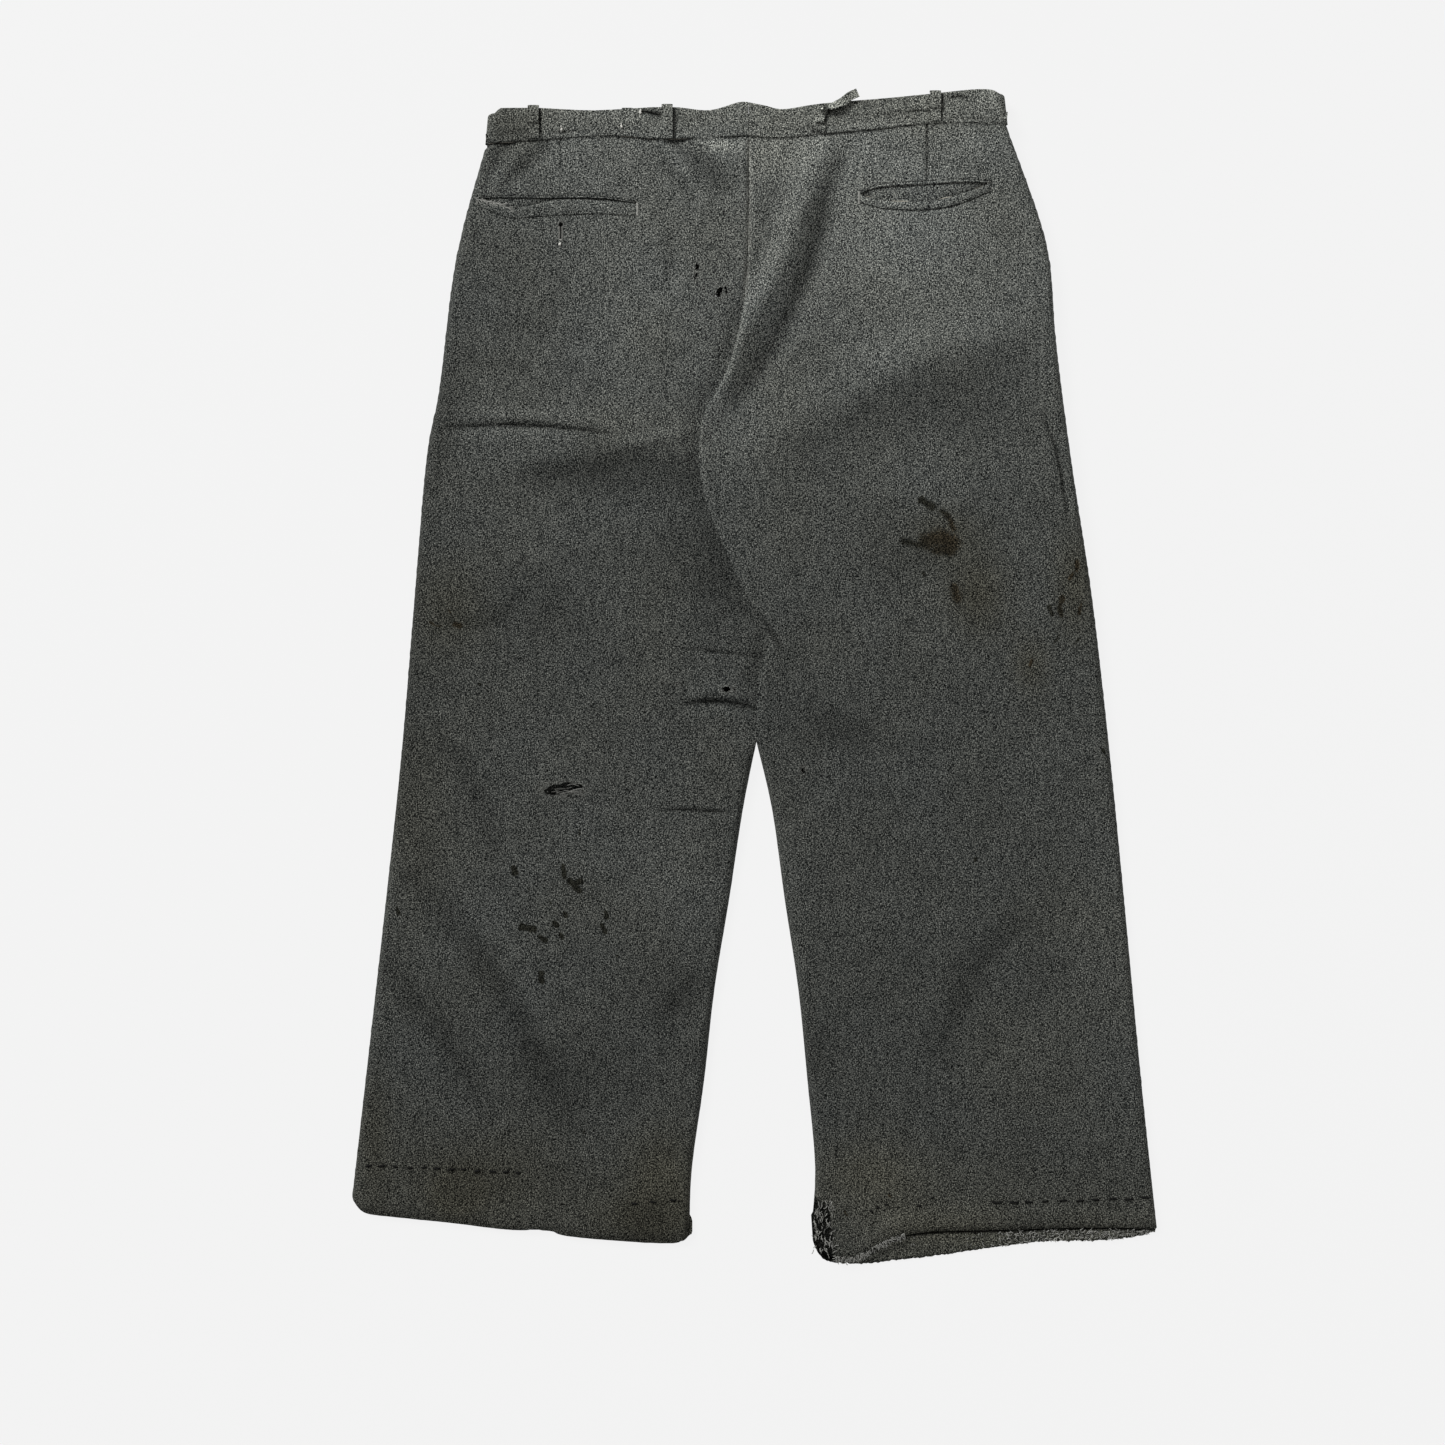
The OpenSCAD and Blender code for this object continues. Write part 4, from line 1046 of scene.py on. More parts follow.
def front_mouth(side):
    """Corners of a slanted front pocket's mouth, from the CAD edge piece inside it."""
    sign = SIDES[side]
    low, high = corners(f"{side}_front_pocket_edge")
    middle = (low + high) / 2
    t = math.radians(19) * sign
    along = np.array([-math.sin(t), math.cos(t)])
    across = np.array([math.cos(t), math.sin(t)])
    centre = middle[:2] + sign * across * 8
    return centre, along, across


def front_cloth(side):
    """The front of one side, face down, with the slanted pocket's mouth."""
    centre, along, across = front_mouth(side)
    slit = [centre + along * a + across * b for a, b in ((-76, -0.8), (-76, 0.8), (76, 1.6), (76, -1.6))]
    outline = front_outline(side)
    columns = np.linspace(72, 350, 60)
    hem_line = side_by_side(columns, hem_y["right"](columns))
    near = [(np.array([(60, -505), (62, -470)]), 12), (hem_line, 4)] if side == "right" else []
    plan, faces = fill(outline, [np.array(slit)], 7.0, near)
    x, y = plan[:, 0], plan[:, 1]
    z = front_height(side, x, y)
    shade = cavity(side, x, y) * np.ones(len(x))
    # painted shadow of the back's hem edge on the front's inner face
    if side == "right":
        gap, _ = to_line(x, y, hem_line)
        shade = shade * (1 - 0.92 * bump(gap, 1.9, 4))
    cloth = Cloth().add(side_by_side(x, y, z), faces[:, ::-1], CLOTH, side, inner_shade=shade)
    piece(f"{side}_front_cloth", cloth.mesh("front"), CLOTH_LOOK, f"bend_{side}_leg", FRONT[side])


def ribbon(cloth, rows, thickness, side, closed=False, plan=None, flip=False, shade=1.0):
    """Adds a strip of cloth through rows of points, shape (rows, columns, 3)."""
    rows = np.array(rows, float)
    faces = grid_triangles(rows.shape[0], rows.shape[1], closed)
    if flip:
        faces = faces[:, ::-1]
    flat_plan = None if plan is None else np.array(plan, float).reshape(-1, 2)
    return cloth.add(rows.reshape(-1, 3), faces, thickness, side, flat_plan, shade=shade)


def band_rows(side, inset, v_values, front_to, columns=64):
    """Rows of a waistband half, from the seat seam round the side to the fly, at this depth inside it."""
    sign = SIDES[side]
    centre_x = inner_x[side](SEAT_TOP_Y) + sign * 0.12
    low_corner, high_corner = corners(f"{side}_waistband")
    end = high_corner[0] if sign > 0 else low_corner[0]
    near_end = end - sign * 10
    top_z, low_z = BAND_TOP - 0.1 - inset, BAND_UNDER + inset
    middle_z = (top_z + low_z) / 2
    half = (top_z - low_z) / 2
    rows, plans = [], []
    for v in v_values:
        rounding = 3 * (1 - turn_over((1 - v) * 29, 3))
        end_x = end - sign * ((0.9 + 2.4 * v if sign < 0 else 1.7 + 3.0 * v) + rounding + inset)
        straight = end_x - sign * half
        back_x = np.linspace(centre_x, straight, columns)
        angle = np.linspace(0, math.pi, 15)[1:-1]
        front_x = np.linspace(straight, front_to, 48)
        x = np.concatenate([back_x, straight + sign * half * np.sin(angle), front_x])
        z = np.concatenate([np.full(columns, top_z), middle_z + half * np.cos(angle), np.full(48, low_z)])
        within = np.minimum(sign * x, sign * near_end) * sign
        low, high = band_low_y[side](within) + 0.3, band_high_y[side](within) - 0.2
        y = low + (high - low) * v
        run = np.concatenate([[0], np.cumsum(np.hypot(np.diff(x), np.diff(z)))])
        rows.append(side_by_side(x, y, z))
        plans.append(side_by_side(sign * run, y))
    return np.array(rows), np.array(plans)


def waistband(side):
    """The outer cloth of a waistband half."""
    v_values = [0, 0.02, 0.05, *np.arange(0.09, 0.92, 0.04), 0.94, 0.96, 0.98, 0.99, 1]
    sign = SIDES[side]
    front_to = corners("waistband_tab")[0][0] - 0.4 if sign < 0 else corners("waistband_tab")[1][0] + 1
    rows, plans = band_rows(side, 0.0, v_values, front_to, 200)
    flat = rows.reshape(-1, 3)
    v = np.repeat(v_values, rows.shape[1])
    up = np.where(flat[:, 2] > (BAND_TOP + BAND_UNDER) / 2, 1.0, -1.0)
    x, y = flat[:, 0], flat[:, 1]
    edge = 0.9 * (1 - turn_over((1 - v) * 30, 1.6)) + 0.7 * (1 - turn_over(v * 30, 1.2))
    bulge = 0.35 * np.sin(np.pi * clamp(v))
    crease = -0.5 * bump((v - 0.22) * 30, 1.0) - 0.35 * bump((v - 0.9) * 30, 0.9)
    wave = 0.6 * ripple(x, y, 30, 101) + 0.30 * ripple(x, y, 12, 102, 0.5)
    back = relief(x, y, BAND_FOLDS[side]) * (up > 0)
    flat[:, 2] += up * (bulge + crease * 0.8 - edge) + (wave + back) * (up > 0) - 0.1 * up
    flat[:, 2] = np.maximum(flat[:, 2], 0.9)
    # painted shade and light of the band's folds, painted shade along its lower edge, and the painted shadows
    # and dark lines of BAND_LINES
    shade = fold_shade(x, y, BAND_FOLDS[side]) * (1 - 0.35 * bump(v * 30, 0.9))
    for line, width, depth in BAND_LINES[side]:
        gap, _ = to_line(x, y, line)
        shade *= 1 - depth * bump(gap, width)
    shade = np.where(up > 0, shade, 1.0)
    cloth = ribbon(Cloth(), flat.reshape(rows.shape), 1.9, side, plan=plans, flip=sign < 0, shade=shade)
    piece(f"{side}_waistband_cloth", cloth.mesh("band"), CLOTH_LOOK, "seat", [f"{side}_waistband"])


def waistband_lining(side):
    """The cloth inside a waistband half."""
    sign = SIDES[side]
    front_to = corners("waistband_tab")[0][0] - 1 if sign < 0 else corners("fly_shield")[1][0] + 4
    v_values = [0.0, 0.1, 0.35, 0.65, 0.9, 0.98]
    rows, plans = band_rows(side, 2.3, v_values, front_to)
    uneven = ripple(rows[:, :, 0].ravel(), rows[:, :, 1].ravel(), 20, 111)
    rows[:, :, 2] += 0.25 * uneven.reshape(rows.shape[:2])
    cloth = ribbon(Cloth(), rows, 0.5, side, plan=plans, flip=sign < 0)
    piece(f"{side}_waistband_lining_cloth", cloth.mesh("lining"), LINING_LOOK, "seat",
          [f"{side}_waistband_lining"])


def strap(cloth, path, width, side, thickness=1.1, twist=None, shade=1.0, across=None):
    """A folded strap of cloth along a path of points, flat unless it is twisted (degrees at each point)."""
    path = np.array(path, float)
    line = smooth_line(path, 6)
    count = len(line)
    turns = np.zeros(count) if twist is None else np.interp(np.linspace(0, 1, count),
                                                            np.linspace(0, 1, len(twist)), twist)
    forward = np.gradient(line, axis=0)
    forward /= np.linalg.norm(forward, axis=1, keepdims=True)
    base = np.array([1.0, 0, 0] if across is None else across)
    rows = []
    for p, f, turn in zip(line, forward, turns):
        wide = base - f * np.dot(base, f)
        wide /= np.linalg.norm(wide)
        up = np.cross(wide, f)
        a = math.radians(turn)
        wide, up = wide * math.cos(a) + up * math.sin(a), up * math.cos(a) - wide * math.sin(a)
        ring = []
        for s in np.linspace(-1, 1, 7):
            ring.append(p + wide * s * width / 2 + up * thickness / 2 * (1 - 0.35 * abs(s) ** 3))
        rows.append(ring)
    rows = np.array(rows)
    run = run_along(line)
    plan = [[(s * width / 2, r) for s in np.linspace(-1, 1, 7)] for r in run]
    return ribbon(cloth, rows, thickness, side, plan=plan, shade=shade)


def back_loops():
    """The three whole loops over the back of the waistband, and the two pressed flat under its front."""
    for node, side, step in (("back_left_outer_loop", "left", 0.52), ("back_left_inner_loop", "left", None),
                             ("back_right_outer_loop", "right", 0.48)):
        low, high = corners(node)
        x = (low[0] + high[0]) / 2
        bottom, top = band_low_y[side](x) + 1.2, band_high_y[side](x)
        skin = BAND_TOP + 0.6
        crown = high[2] - 2.4
        over = [(x, top - 2.4, crown - 0.3), (x, top + 0.5, crown - 1.6), (x, top + 1.7, skin - 1.0),
                (x, top + 1.5, skin - 4.5)]
        path = [(x, bottom + 1.5, skin - 0.5), (x, bottom - 0.4, skin + 0.7), (x, bottom + 2.5, skin + 1.5),
                (x, bottom + 9, crown), (x, top - 9, crown), *over]
        if step is not None:
            fold_y = bottom + (top - bottom) * step
            path = [(x, bottom + 0.6, skin - 1.2), (x, bottom + 2.5, skin - 0.2), (x, fold_y - 4, skin + 0.1),
                    (x, fold_y - 0.8, skin + 0.6), (x, fold_y + 1.0, crown - 0.6), (x, top - 5, crown), *over]
        cloth = strap(Cloth(), path, 9.6, side)
        piece(f"{node}_strap", cloth.mesh("loop"), CLOTH_LOOK, "seat", [node])
    for node, side in (("front_left_loop", "left"), ("front_right_loop", "right")):
        low, high = corners(node)
        x = (low[0] + high[0]) / 2
        z = (low[2] + high[2]) / 2
        path = [(x, low[1], z + 0.3), (x, low[1] + 3, z), (x, high[1] - 4, z), (x, high[1] + 0.5, z + 0.2),
                (x, high[1] + 2.2, z + 2.2)]
        cloth = strap(Cloth(), path[::-1], 9.6, side, thickness=0.7)
        piece(f"{node}_strap", cloth.mesh("loop"), CLOTH_LOOK, "seat", [node])


def torn_loop():
    """The loop that is torn off at its top: its sewn foot, and the strip that swings."""
    stub_low, stub_high = corners("torn_loop_stub")
    skin = BAND_TOP + 0.5
    foot = ((stub_low[0] + stub_high[0]) / 2, stub_low[1], skin)
    stub = [(foot[0] - 1, foot[1] + 0.5, skin + 0.1), (foot[0], foot[1] + 2.5, skin + 0.5),
            (foot[0] + 0.6, stub_high[1] - 1.0, skin + 0.4), (foot[0] + 0.8, stub_high[1] - 0.2, skin + 0.1)]
    cloth = strap(Cloth(), stub, 10.5, "right", shade=0.8, thickness=0.9)
    piece("torn_loop_foot", cloth.mesh("stub"), CLOTH_LOOK, "seat", ["torn_loop_stub"])
    x, y, _ = corners("torn_loop")[0] + (7.5, 0, 0)
    path = [(x - 4.0, y + 1.5, skin + 1.7), (x - 3.4, y + 5, skin + 2.3), (x - 1.2, y + 9.5, skin + 2.9),
            (x + 3.6, y + 13.2, skin + 2.6), (x + 10, y + 15.6, skin + 3.4), (x + 17, y + 19.2, skin + 2.6),
            (x + 23, y + 23.8, skin + 3.0), (x + 30, y + 27.4, skin + 1.6)]
    # painted light: the twisted strip is made half as bright again
    cloth = strap(Cloth(), path, 7.8, "right", twist=[0, 10, -40, -95, -150, -185, -200, -180],
                  across=(0.85, -0.5, 0), thickness=1.3, shade=1.5)
    piece("torn_loop_strap", cloth.mesh("torn"), CLOTH_LOOK, "torn_loop_strip", ["torn_loop"])


def on_back(side, line, lift):
    """Points of a line laid on the back's outer face, raised by lift."""
    line = np.array(line, float)
    z = back_height(side, line[:, 0], line[:, 1]) + lift
    return side_by_side(line[:, 0], line[:, 1], z)


def pocket_lips(side):
    """The welt below a back pocket's mouth and the narrow piping above it."""
    upper, lower, foot = (resample(line, 90) for line in LIPS[side])
    taper = np.sin(np.pi * np.linspace(0, 1, 90)) ** 0.35
    puff = (1.9 if side == "right" else 1.0) * taper
    rows = []
    for v in (0.0, 0.03, 0.10, 0.25, 0.45, 0.65, 0.82, 0.93, 1.0, 1.06):
        line = foot + (lower - foot) * v
        lift = puff * (0.25 + 0.9 * math.sin(math.pi * min(v, 1) * 0.62)) - (0.5 if v == 0 else 0)
        if v > 0.93:
            lift = lift - 0.5 * (v - 0.93) / 0.13 * (1 + puff)
        rows.append(on_back(side, line, lift))
    rows.append(on_back(side, foot + (lower - foot) * 0.98, -1.3 * np.ones(90)))
    cloth = Cloth()
    # painted shade and highlight across the welt's rows: dark at its edges, lightest along its top
    edges = np.array([0.45, 0.7, 1.0, 1.05, 1.05, 1.08, 1.12, 1.1, 0.75, 0.45, 0.3])
    ribbon(cloth, rows, 0.6, side, shade=np.repeat(edges, 90))
    wide = 2.4 if side == "right" else 1.4
    rows = []
    for v, lift in ((-0.6, -1.0), (-0.15, -0.1), (0.2, 0.55), (0.6, 0.6), (1.0, 0.05), (1.2, -0.5)):
        line = upper + np.array([0, wide]) * (v - 0.75) * taper[:, None]
        rows.append(on_back(side, line, lift * (0.6 + 0.4 * taper)))
    # painted shade and highlight across the piping's rows: dark at its edges, lighter on its top
    edges = np.array([0.3, 0.45, 1.1, 1.1, 0.6, 0.45])
    ribbon(cloth, rows, 0.5, side, shade=np.repeat(edges, 90))
    piece(f"{side}_back_pocket_lips", cloth.mesh("lips"), CLOTH_LOOK, "seat", [f"{side}_back_pocket_welt"])


def pocket_facing(side):
    """The strip of trouser cloth behind the mouth."""
    upper, lower, _ = (resample(line, 60) for line in LIPS[side])
    rows = []
    deep = 0.8 if side == "left" else 1.0
    slopes = ((-3.4, 3.4), (-0.5, 3.6), (0.0, 3.7 * deep), (0.2, 3.0 * deep), (0.45, 2.0 * deep),
              (0.75, 1.3 * deep), (1.0, 1.2), (1.2, 1.7))
    for v, drop in slopes:
        beyond = 10 * min(v, 0) + 5 * max(v - 1, 0)
        line = lower + (upper - lower) * max(v, -0.5) + np.array([0, 1.0]) * beyond
        rows.append(on_back(side, line, -drop))
    cloth = Cloth()
    # painted shade across the facing's rows, darkest in the shadow under the upper lip
    edges = np.array([0.4, 0.5, 0.8, 0.95, 0.97, 0.9, 0.3, 0.2])
    ribbon(cloth, rows, 0.4, side, shade=np.repeat(edges, 60))
    piece(f"{side}_back_pocket_facing_cloth", cloth.mesh("facing"), CLOTH_LOOK, "seat",
          [f"{side}_back_pocket_facing"])


def pouch(name, node, outline, openings, top, low, side, body="seat"):
    """A slack pocket bag: two cloths that meet round the edge, the outer one open at the mouth."""
    cloth = Cloth()
    outline = np.array(outline)
    for level, holes, flip in ((top, openings, False), (low, [], True)):
        plan, faces = fill(outline, holes, 8.0)
        x, y = plan[:, 0], plan[:, 1]
        gap, _ = to_line(x, y, closed(outline))
        share = ease(gap / 16)
        middle = (top(x, y) + low(x, y)) / 2
        z = middle + (level(x, y) - middle) * share + 0.2 * ripple(x, y, 24, 121) * share
        z += 0.25 * (-1 if flip else 1)
        cloth.add(side_by_side(x, y, z), faces[:, ::-1] if flip else faces, 0.35, side)
    piece(name, cloth.mesh("pouch"), LINING_LOOK, body, [node])


def back_pouch(side):
    """The doubled bag of a back pocket."""
    low, high = corners(f"{side}_back_pocket_bag")
    bottom = low[1]
    margin = 3
    left, right = low[0] + margin, high[0] - margin
    outline = round_corners([(left, high[1] - 6), (left, bottom), (right, bottom), (right, high[1] - 2)], 14)
    outline = resample(closed(outline), 120)[:-1]
    deep_low = low[2] + 1.2

    def top(x, y):
        return back_height(side, x, y) - 1.9

    def under(x, y):
        return np.minimum(back_height(side, x, y) - 3.6, deep_low + 1.6)

    upper, lower, _ = LIPS[side]
    openings = [np.concatenate([upper + (0, 1.5), lower[::-1][1:-1] - (0, 9)])]
    if side == "left":
        openings.append(oval((BUTTONHOLE[0], BUTTONHOLE[1] - 5), (5, 10), 0))
    pouch(f"{side}_back_pocket_pouch", f"{side}_back_pocket_bag", outline, openings, top, under, side)


def front_pouch(side):
    """The bag of a slanted front pocket, with the same outline as its CAD solid."""
    node = f"{side}_front_pocket_bag"
    low, high = corners(node)
    outline = node_outline(node, np.arange(low[1] + 1, high[1], 6.0), 1.5, 4.0, 110)
    pouch(f"{side}_front_pocket_pouch", node, outline, [],
          lambda x, y: np.full(len(x), high[2] - 1.2), lambda x, y: np.full(len(x), low[2] + 0.9), side)


def seam_tape(name, nodes, edge_points, inward, width, z_of, side, body):
    """A turned-in seam allowance that lies along an edge inside the trousers."""
    points = np.array(edge_points, float)
    rows = []
    for v in (0.0, 0.25, 0.6, 1.0):
        line = points + np.array([inward, 0]) * (1.4 + width * v)
        z = z_of(line[:, 0], line[:, 1], v) + 0.15 * ripple(line[:, 0], line[:, 1], 9, 131)
        rows.append(side_by_side(line[:, 0], line[:, 1], z))
    places = np.concatenate(rows)
    shade = 0.85 * cavity(side, places[:, 0], places[:, 1])
    cloth = ribbon(Cloth(), rows, 0.6, side, flip=inward < 0, shade=shade)
    piece(name, cloth.mesh("tape"), CLOTH_LOOK, body, nodes)


def leg_seams(side):
    """The pressed tapes along the sides of the legs, inside."""
    sign = SIDES[side]
    rows = np.arange(side_top_y[side] - 4, corners(f"{side}_lower_outseam")[0][1] + 6, -6.0)
    points = side_by_side(outer_x[side](rows), rows)
    seam_tape(f"{side}_outseam_tape", [f"{side}_outseam", f"{side}_lower_outseam"], points, -sign, 12,
              lambda x, y, v: EDGE_Z - 0.1 + 0.5 * v, side, f"bend_{side}_leg")
    rows = np.arange(CROTCH_Y - 8, inseam_low_y[side] + 6, -6.0)
    points = side_by_side(inner_x[side](rows), rows)
    seam_tape(f"{side}_inseam_tape", [f"{side}_inseam", f"{side}_lower_inseam"], points, sign, 12,
              lambda x, y, v: EDGE_Z - 0.1 + 0.5 * v, side, f"bend_{side}_leg")


def seat_seams():
    """The tapes inside the seat seam and the front rise."""
    rows = np.arange(SEAT_TOP_Y - 6, 20, -6.0)
    points = side_by_side(inner_x["right"](rows) - 11, rows)

    def under_back(x, y, v):
        left = back_height("left", np.minimum(x, inner_x["right"](y) - 0.5), y)
        right = back_height("right", np.maximum(x, inner_x["right"](y) + 3), y)
        return np.minimum(left, right) - 3.4

    seam_tape("seat_seam_tape", ["seat_seam"], points, 1, 20, under_back, "left", "seat")
    low, high = corners("front_rise_seam")
    rows = np.arange(high[1], low[1], -6.0)
    points = side_by_side(np.full(len(rows), low[0]), rows)
    seam_tape("front_rise_tape", ["front_rise_seam"], points, 1, 15,
              lambda x, y, v: np.full(len(x), high[2]), "left", "seat")


def dart_folds():
    """The cloth taken up by each dart, pressed flat under the back."""
    for side, (x, top, bottom) in DARTS.items():
        rows = []
        for v in (-1.0, 0.0, 1.0):
            ys = np.linspace(top - 2, bottom + 6, 12)
            half = 5.5 * (ys - bottom) / (top - bottom)
            xs = x + v * half
            z = back_height(side, xs, ys) - 1.7
            rows.append(side_by_side(xs, ys, z))
        cloth = ribbon(Cloth(), rows, 0.5, side, flip=True)
        piece(f"{side}_dart_fold", cloth.mesh("dart"), CLOTH_LOOK, "seat", [f"{side}_back_dart"])


def hem_facing(side):
    """Cloth turned up inside the hem, a tube between the seams."""
    node = f"{side}_hem_facing"
    low, high = corners(node)
    start, stop = low[0] + 4, high[0] - 4
    columns = np.linspace(start, stop, 120)
    rows, plans = [], []
    for v in (*np.linspace(0, 0.6, 22), 0.75, 0.9, 1):
        y_back = hem_y[side](columns) + 1.2 + v * (high[1] - 1.2 - hem_y[side](columns))
        y_front = front_hem_y[side](columns) + 1.6 + v * (high[1] - 1.6 - front_hem_y[side](columns))
        z_back = back_height(side, columns, np.maximum(y_back, hem_y[side](columns) + 2.5)) - 1.35
        z_front = front_height(side, columns, y_front) + 1.45
        z_back = np.maximum(z_back, z_front + 0.3)
        back = side_by_side(columns, y_back, z_back)
        front = side_by_side(columns, y_front, z_front)[::-1]
        rows.append(np.concatenate([back, front]))
        run = np.concatenate([columns, 2 * stop - columns[::-1]])
        plans.append(side_by_side(run, np.concatenate([y_back, y_front[::-1]])))
    cloth = Cloth()
    x, y, _ = np.concatenate(rows).T
    shade = 0.9 * cavity(side, x, y)
    if side == "right":
        # painted shadow of the back's hem edge; further out, below it, the strip is made lighter
        shade *= 1 - 0.94 * bump(y + 0.6 - hem_y[side](x), 1.9, 4)
        shade *= 1 + 0.35 * bump(x - 292, 60) * (y < hem_y[side](x) - 2)
    ribbon(cloth, rows, 0.5, side, closed=True, plan=plans, shade=shade)
    piece(f"{side}_hem_facing_cloth", cloth.mesh("hem"), CLOTH_LOOK, f"{side}_leg", [node])


# ---------------------------------------------------------------- thread
def tubes(name, paths, look, body, nodes=(), sides=5):
    """One piece of many threads, each a path of points with a radius."""
    points, faces, plan = [], [], []
    for path, radius in paths:
        line = smooth_line(path, 3)
        forward = np.gradient(line, axis=0)
        forward /= np.maximum(np.linalg.norm(forward, axis=1, keepdims=True), 1e-9)
        base = len(points)
        for i, (p, f) in enumerate(zip(line, forward)):
            wide = np.cross(f, (0.1, 0.2, 1.0))
            wide /= np.linalg.norm(wide)
            up = np.cross(wide, f)
            thin = radius * (0.55 if i in (0, len(line) - 1) else 1)
            for k in range(sides):
                a = 2 * math.pi * k / sides
                points.append(p + (wide * math.cos(a) + up * math.sin(a)) * thin)
                plan.append((p[0] + k * 0.2, p[1]))
        faces += (grid_triangles(len(line), sides, True) + base).tolist()
        last = base + (len(line) - 1) * sides
        for k in range(1, sides - 1):
            faces += [(base, base + k + 1, base + k), (last, last + k, last + k + 1)]
    piece(name, new_mesh(name, points, faces, plan), look, body, nodes)


def height_at(side, x, y):
    """How high the back of this side lies at one place."""
    return float(back_height(side, np.array([x], float), np.array([y], float))[0])


def hem_stitches():
    """The dark stitches by hand along the hems."""
    for side in SIDES:
        paths = []
        for x, y, half in STITCHES[side]:
            tilt = random.uniform(-0.5, 0.5)
            z = height_at(side, x, y)
            paths.append(([(x - half, y - tilt, z - 0.4), (x - half * 0.7, y - tilt * 0.6, z + 0.6),
                           (x + half * 0.7, y + tilt * 0.6, z + 0.6), (x + half, y + tilt, z - 0.4)], 0.8))
        tubes(f"{side}_hem_thread", paths, DARK_LOOK, f"{side}_leg", [f"{side}_hem_stitches"])


def bar_tacks():
    """Close pale stitches at the ends of the back pocket mouths, and the buttonhole's own stitches."""
    paths = []
    inner = (("left", -102.6, 405.5, 416.4), ("right", 92.2, 415.8, 426.4))
    outer = (("left", -243.5, 415, 420), ("right", 205.6, 430, 434))
    for side, x, y0, y1 in inner + outer:
        pale = 0.34 if abs(x) < 110 else 0.16
        for i, y in enumerate(np.arange(y0, y1, 0.62)):
            z = height_at(side, x, y) + 0.3
            shift = random.uniform(-0.3, 0.3)
            left_end, right_end = (x - 1.0 + shift, y, z - 0.4), (x + 1.0 + shift, y, z - 0.4)
            paths.append(([left_end, (x, y + 0.2, z + 0.15), right_end], pale))
    x, y, length = BUTTONHOLE
    for i in range(3):
        z = height_at("left", x, y - length - 1) + 0.35
        paths.append(([(x - 1.2, y - length - i * 0.35, z - 0.3), (x, y - length - i * 0.35, z),
                       (x + 1.2, y - length - i * 0.35, z - 0.3)], 0.26))
    tubes("pocket_tack_thread", paths, WORN_LOOK, "seat", ["pocket_bar_tacks"])
    paths = []
    for i in range(26):
        t = i / 25
        for s in (-1, 1):
            yy = y - 2 - t * (length - 2)
            z = height_at("left", x + s * 1.4, yy)
            rise_and_fall = ((0.55, -0.5), (1.1, 0.15), (2.0, -0.1))
            paths.append(([(x + s * out, yy, z + up) for out, up in rise_and_fall], 0.24))
    for a in np.linspace(-0.7, math.pi + 0.7, 16):
        cx, cy = math.cos(a), math.sin(a)
        z = height_at("left", x + 3 * cx, y + 3 * cy)
        paths.append(([(x + 1.9 * cx, y + 2.1 * cy, z - 0.5), (x + 2.7 * cx, y + 2.8 * cy, z + 0.15),
                       (x + 3.4 * cx, y + 3.5 * cy, z - 0.1)], 0.24))
    tubes("buttonhole_thread", paths, GREY_LOOK, "seat")


def brace_threads():
    """Pale tufts where the brace buttons were."""
    low, high = corners("brace_button_threads")
    paths = []
    for x, y, lean in ((low[0] + 1.0, 481.6, 0.1), (high[0] - 0.6, 484.2, -0.5), (-100.2, 496.2, 0.7),
                       (BUTTONHOLE[0] - 1, BUTTONHOLE[1] - 17.5, 0.5)):
        for _ in range(9):
            dx, dy = random.uniform(-0.7, 0.7), random.uniform(-1.6, 1.6)
            z = BAND_TOP + 0.7
            if y < 400:
                dy = dy * 0.25
                z = height_at("left", x, y) + 0.5
            paths.append(([(x + dx, y + dy - 1.0, z - 0.6), (x + dx + lean * 0.4, y + dy, z + 0.9),
                           (x + dx + lean, y + dy + 1.2, z - 0.1)], 0.42))
    tubes("brace_thread_tufts", paths, PALE_LOOK, "seat", ["brace_button_threads"])


def loose_end(x, y, z, angle, length, sag=0.6):
    """Path of a loose thread end that leaves in this direction."""
    bend_by = random.uniform(-0.7, 0.7)
    path = []
    for t in (0, 0.35, 0.7, 1.0):
        a = angle + bend_by * t
        path.append((x + length * t * math.cos(a), y + length * t * math.sin(a),
                     max(z - sag * t * length / 4 + random.uniform(-0.2, 0.3), 0.3)))
    return path


def tear_threads():
    """Threads left across the tear in the left leg, and frayed ends round the holes."""
    paths, grey = [], []
    for _ in range(18):
        x = random.uniform(-176, -155)
        y = -100.5 + (x + 170) * 0.14 + random.triangular(-4.5, 5.5, -2.0)
        z = height_at("left", x, y)
        half = random.uniform(2.0, 6.5)
        tilt = random.uniform(-1.2, 1.2)
        paths.append(([(x - half, y - tilt, z - 0.1), (x, y + random.uniform(-0.5, 0.5), z + 0.35),
                       (x + half, y + tilt, z - 0.1)], random.uniform(0.16, 0.30)))
    tubes("tear_thread_bridges", paths, GREY_LOOK, "seat")
    for side in SIDES:
        for middle, size, _ in HOLES[side]:
            for _ in range(6):
                a = random.uniform(0, 2 * math.pi)
                x = middle[0] + size[0] * 1.05 * math.cos(a)
                y = middle[1] + size[1] * 1.05 * math.sin(a)
                z = height_at(side, x, y)
                grey.append((loose_end(x, y, z + 0.1, a + math.pi, random.uniform(0.8, 1.8), 0.2), 0.16))
    tubes("hole_fray", grey, GREY_LOOK, "seat")
    paths = []
    for _ in range(34):
        x = random.uniform(-246, -214)
        y = 420.3 - (x + 246) * 0.27 + random.uniform(-0.9, 0.9)
        z = height_at("left", x, y) + 0.8
        paths.append((loose_end(x, y, z, random.uniform(-0.6, 0.1), random.uniform(3, 8), 0.1), 0.28))
    tubes("pocket_corner_fray", paths, WORN_LOOK, "seat")


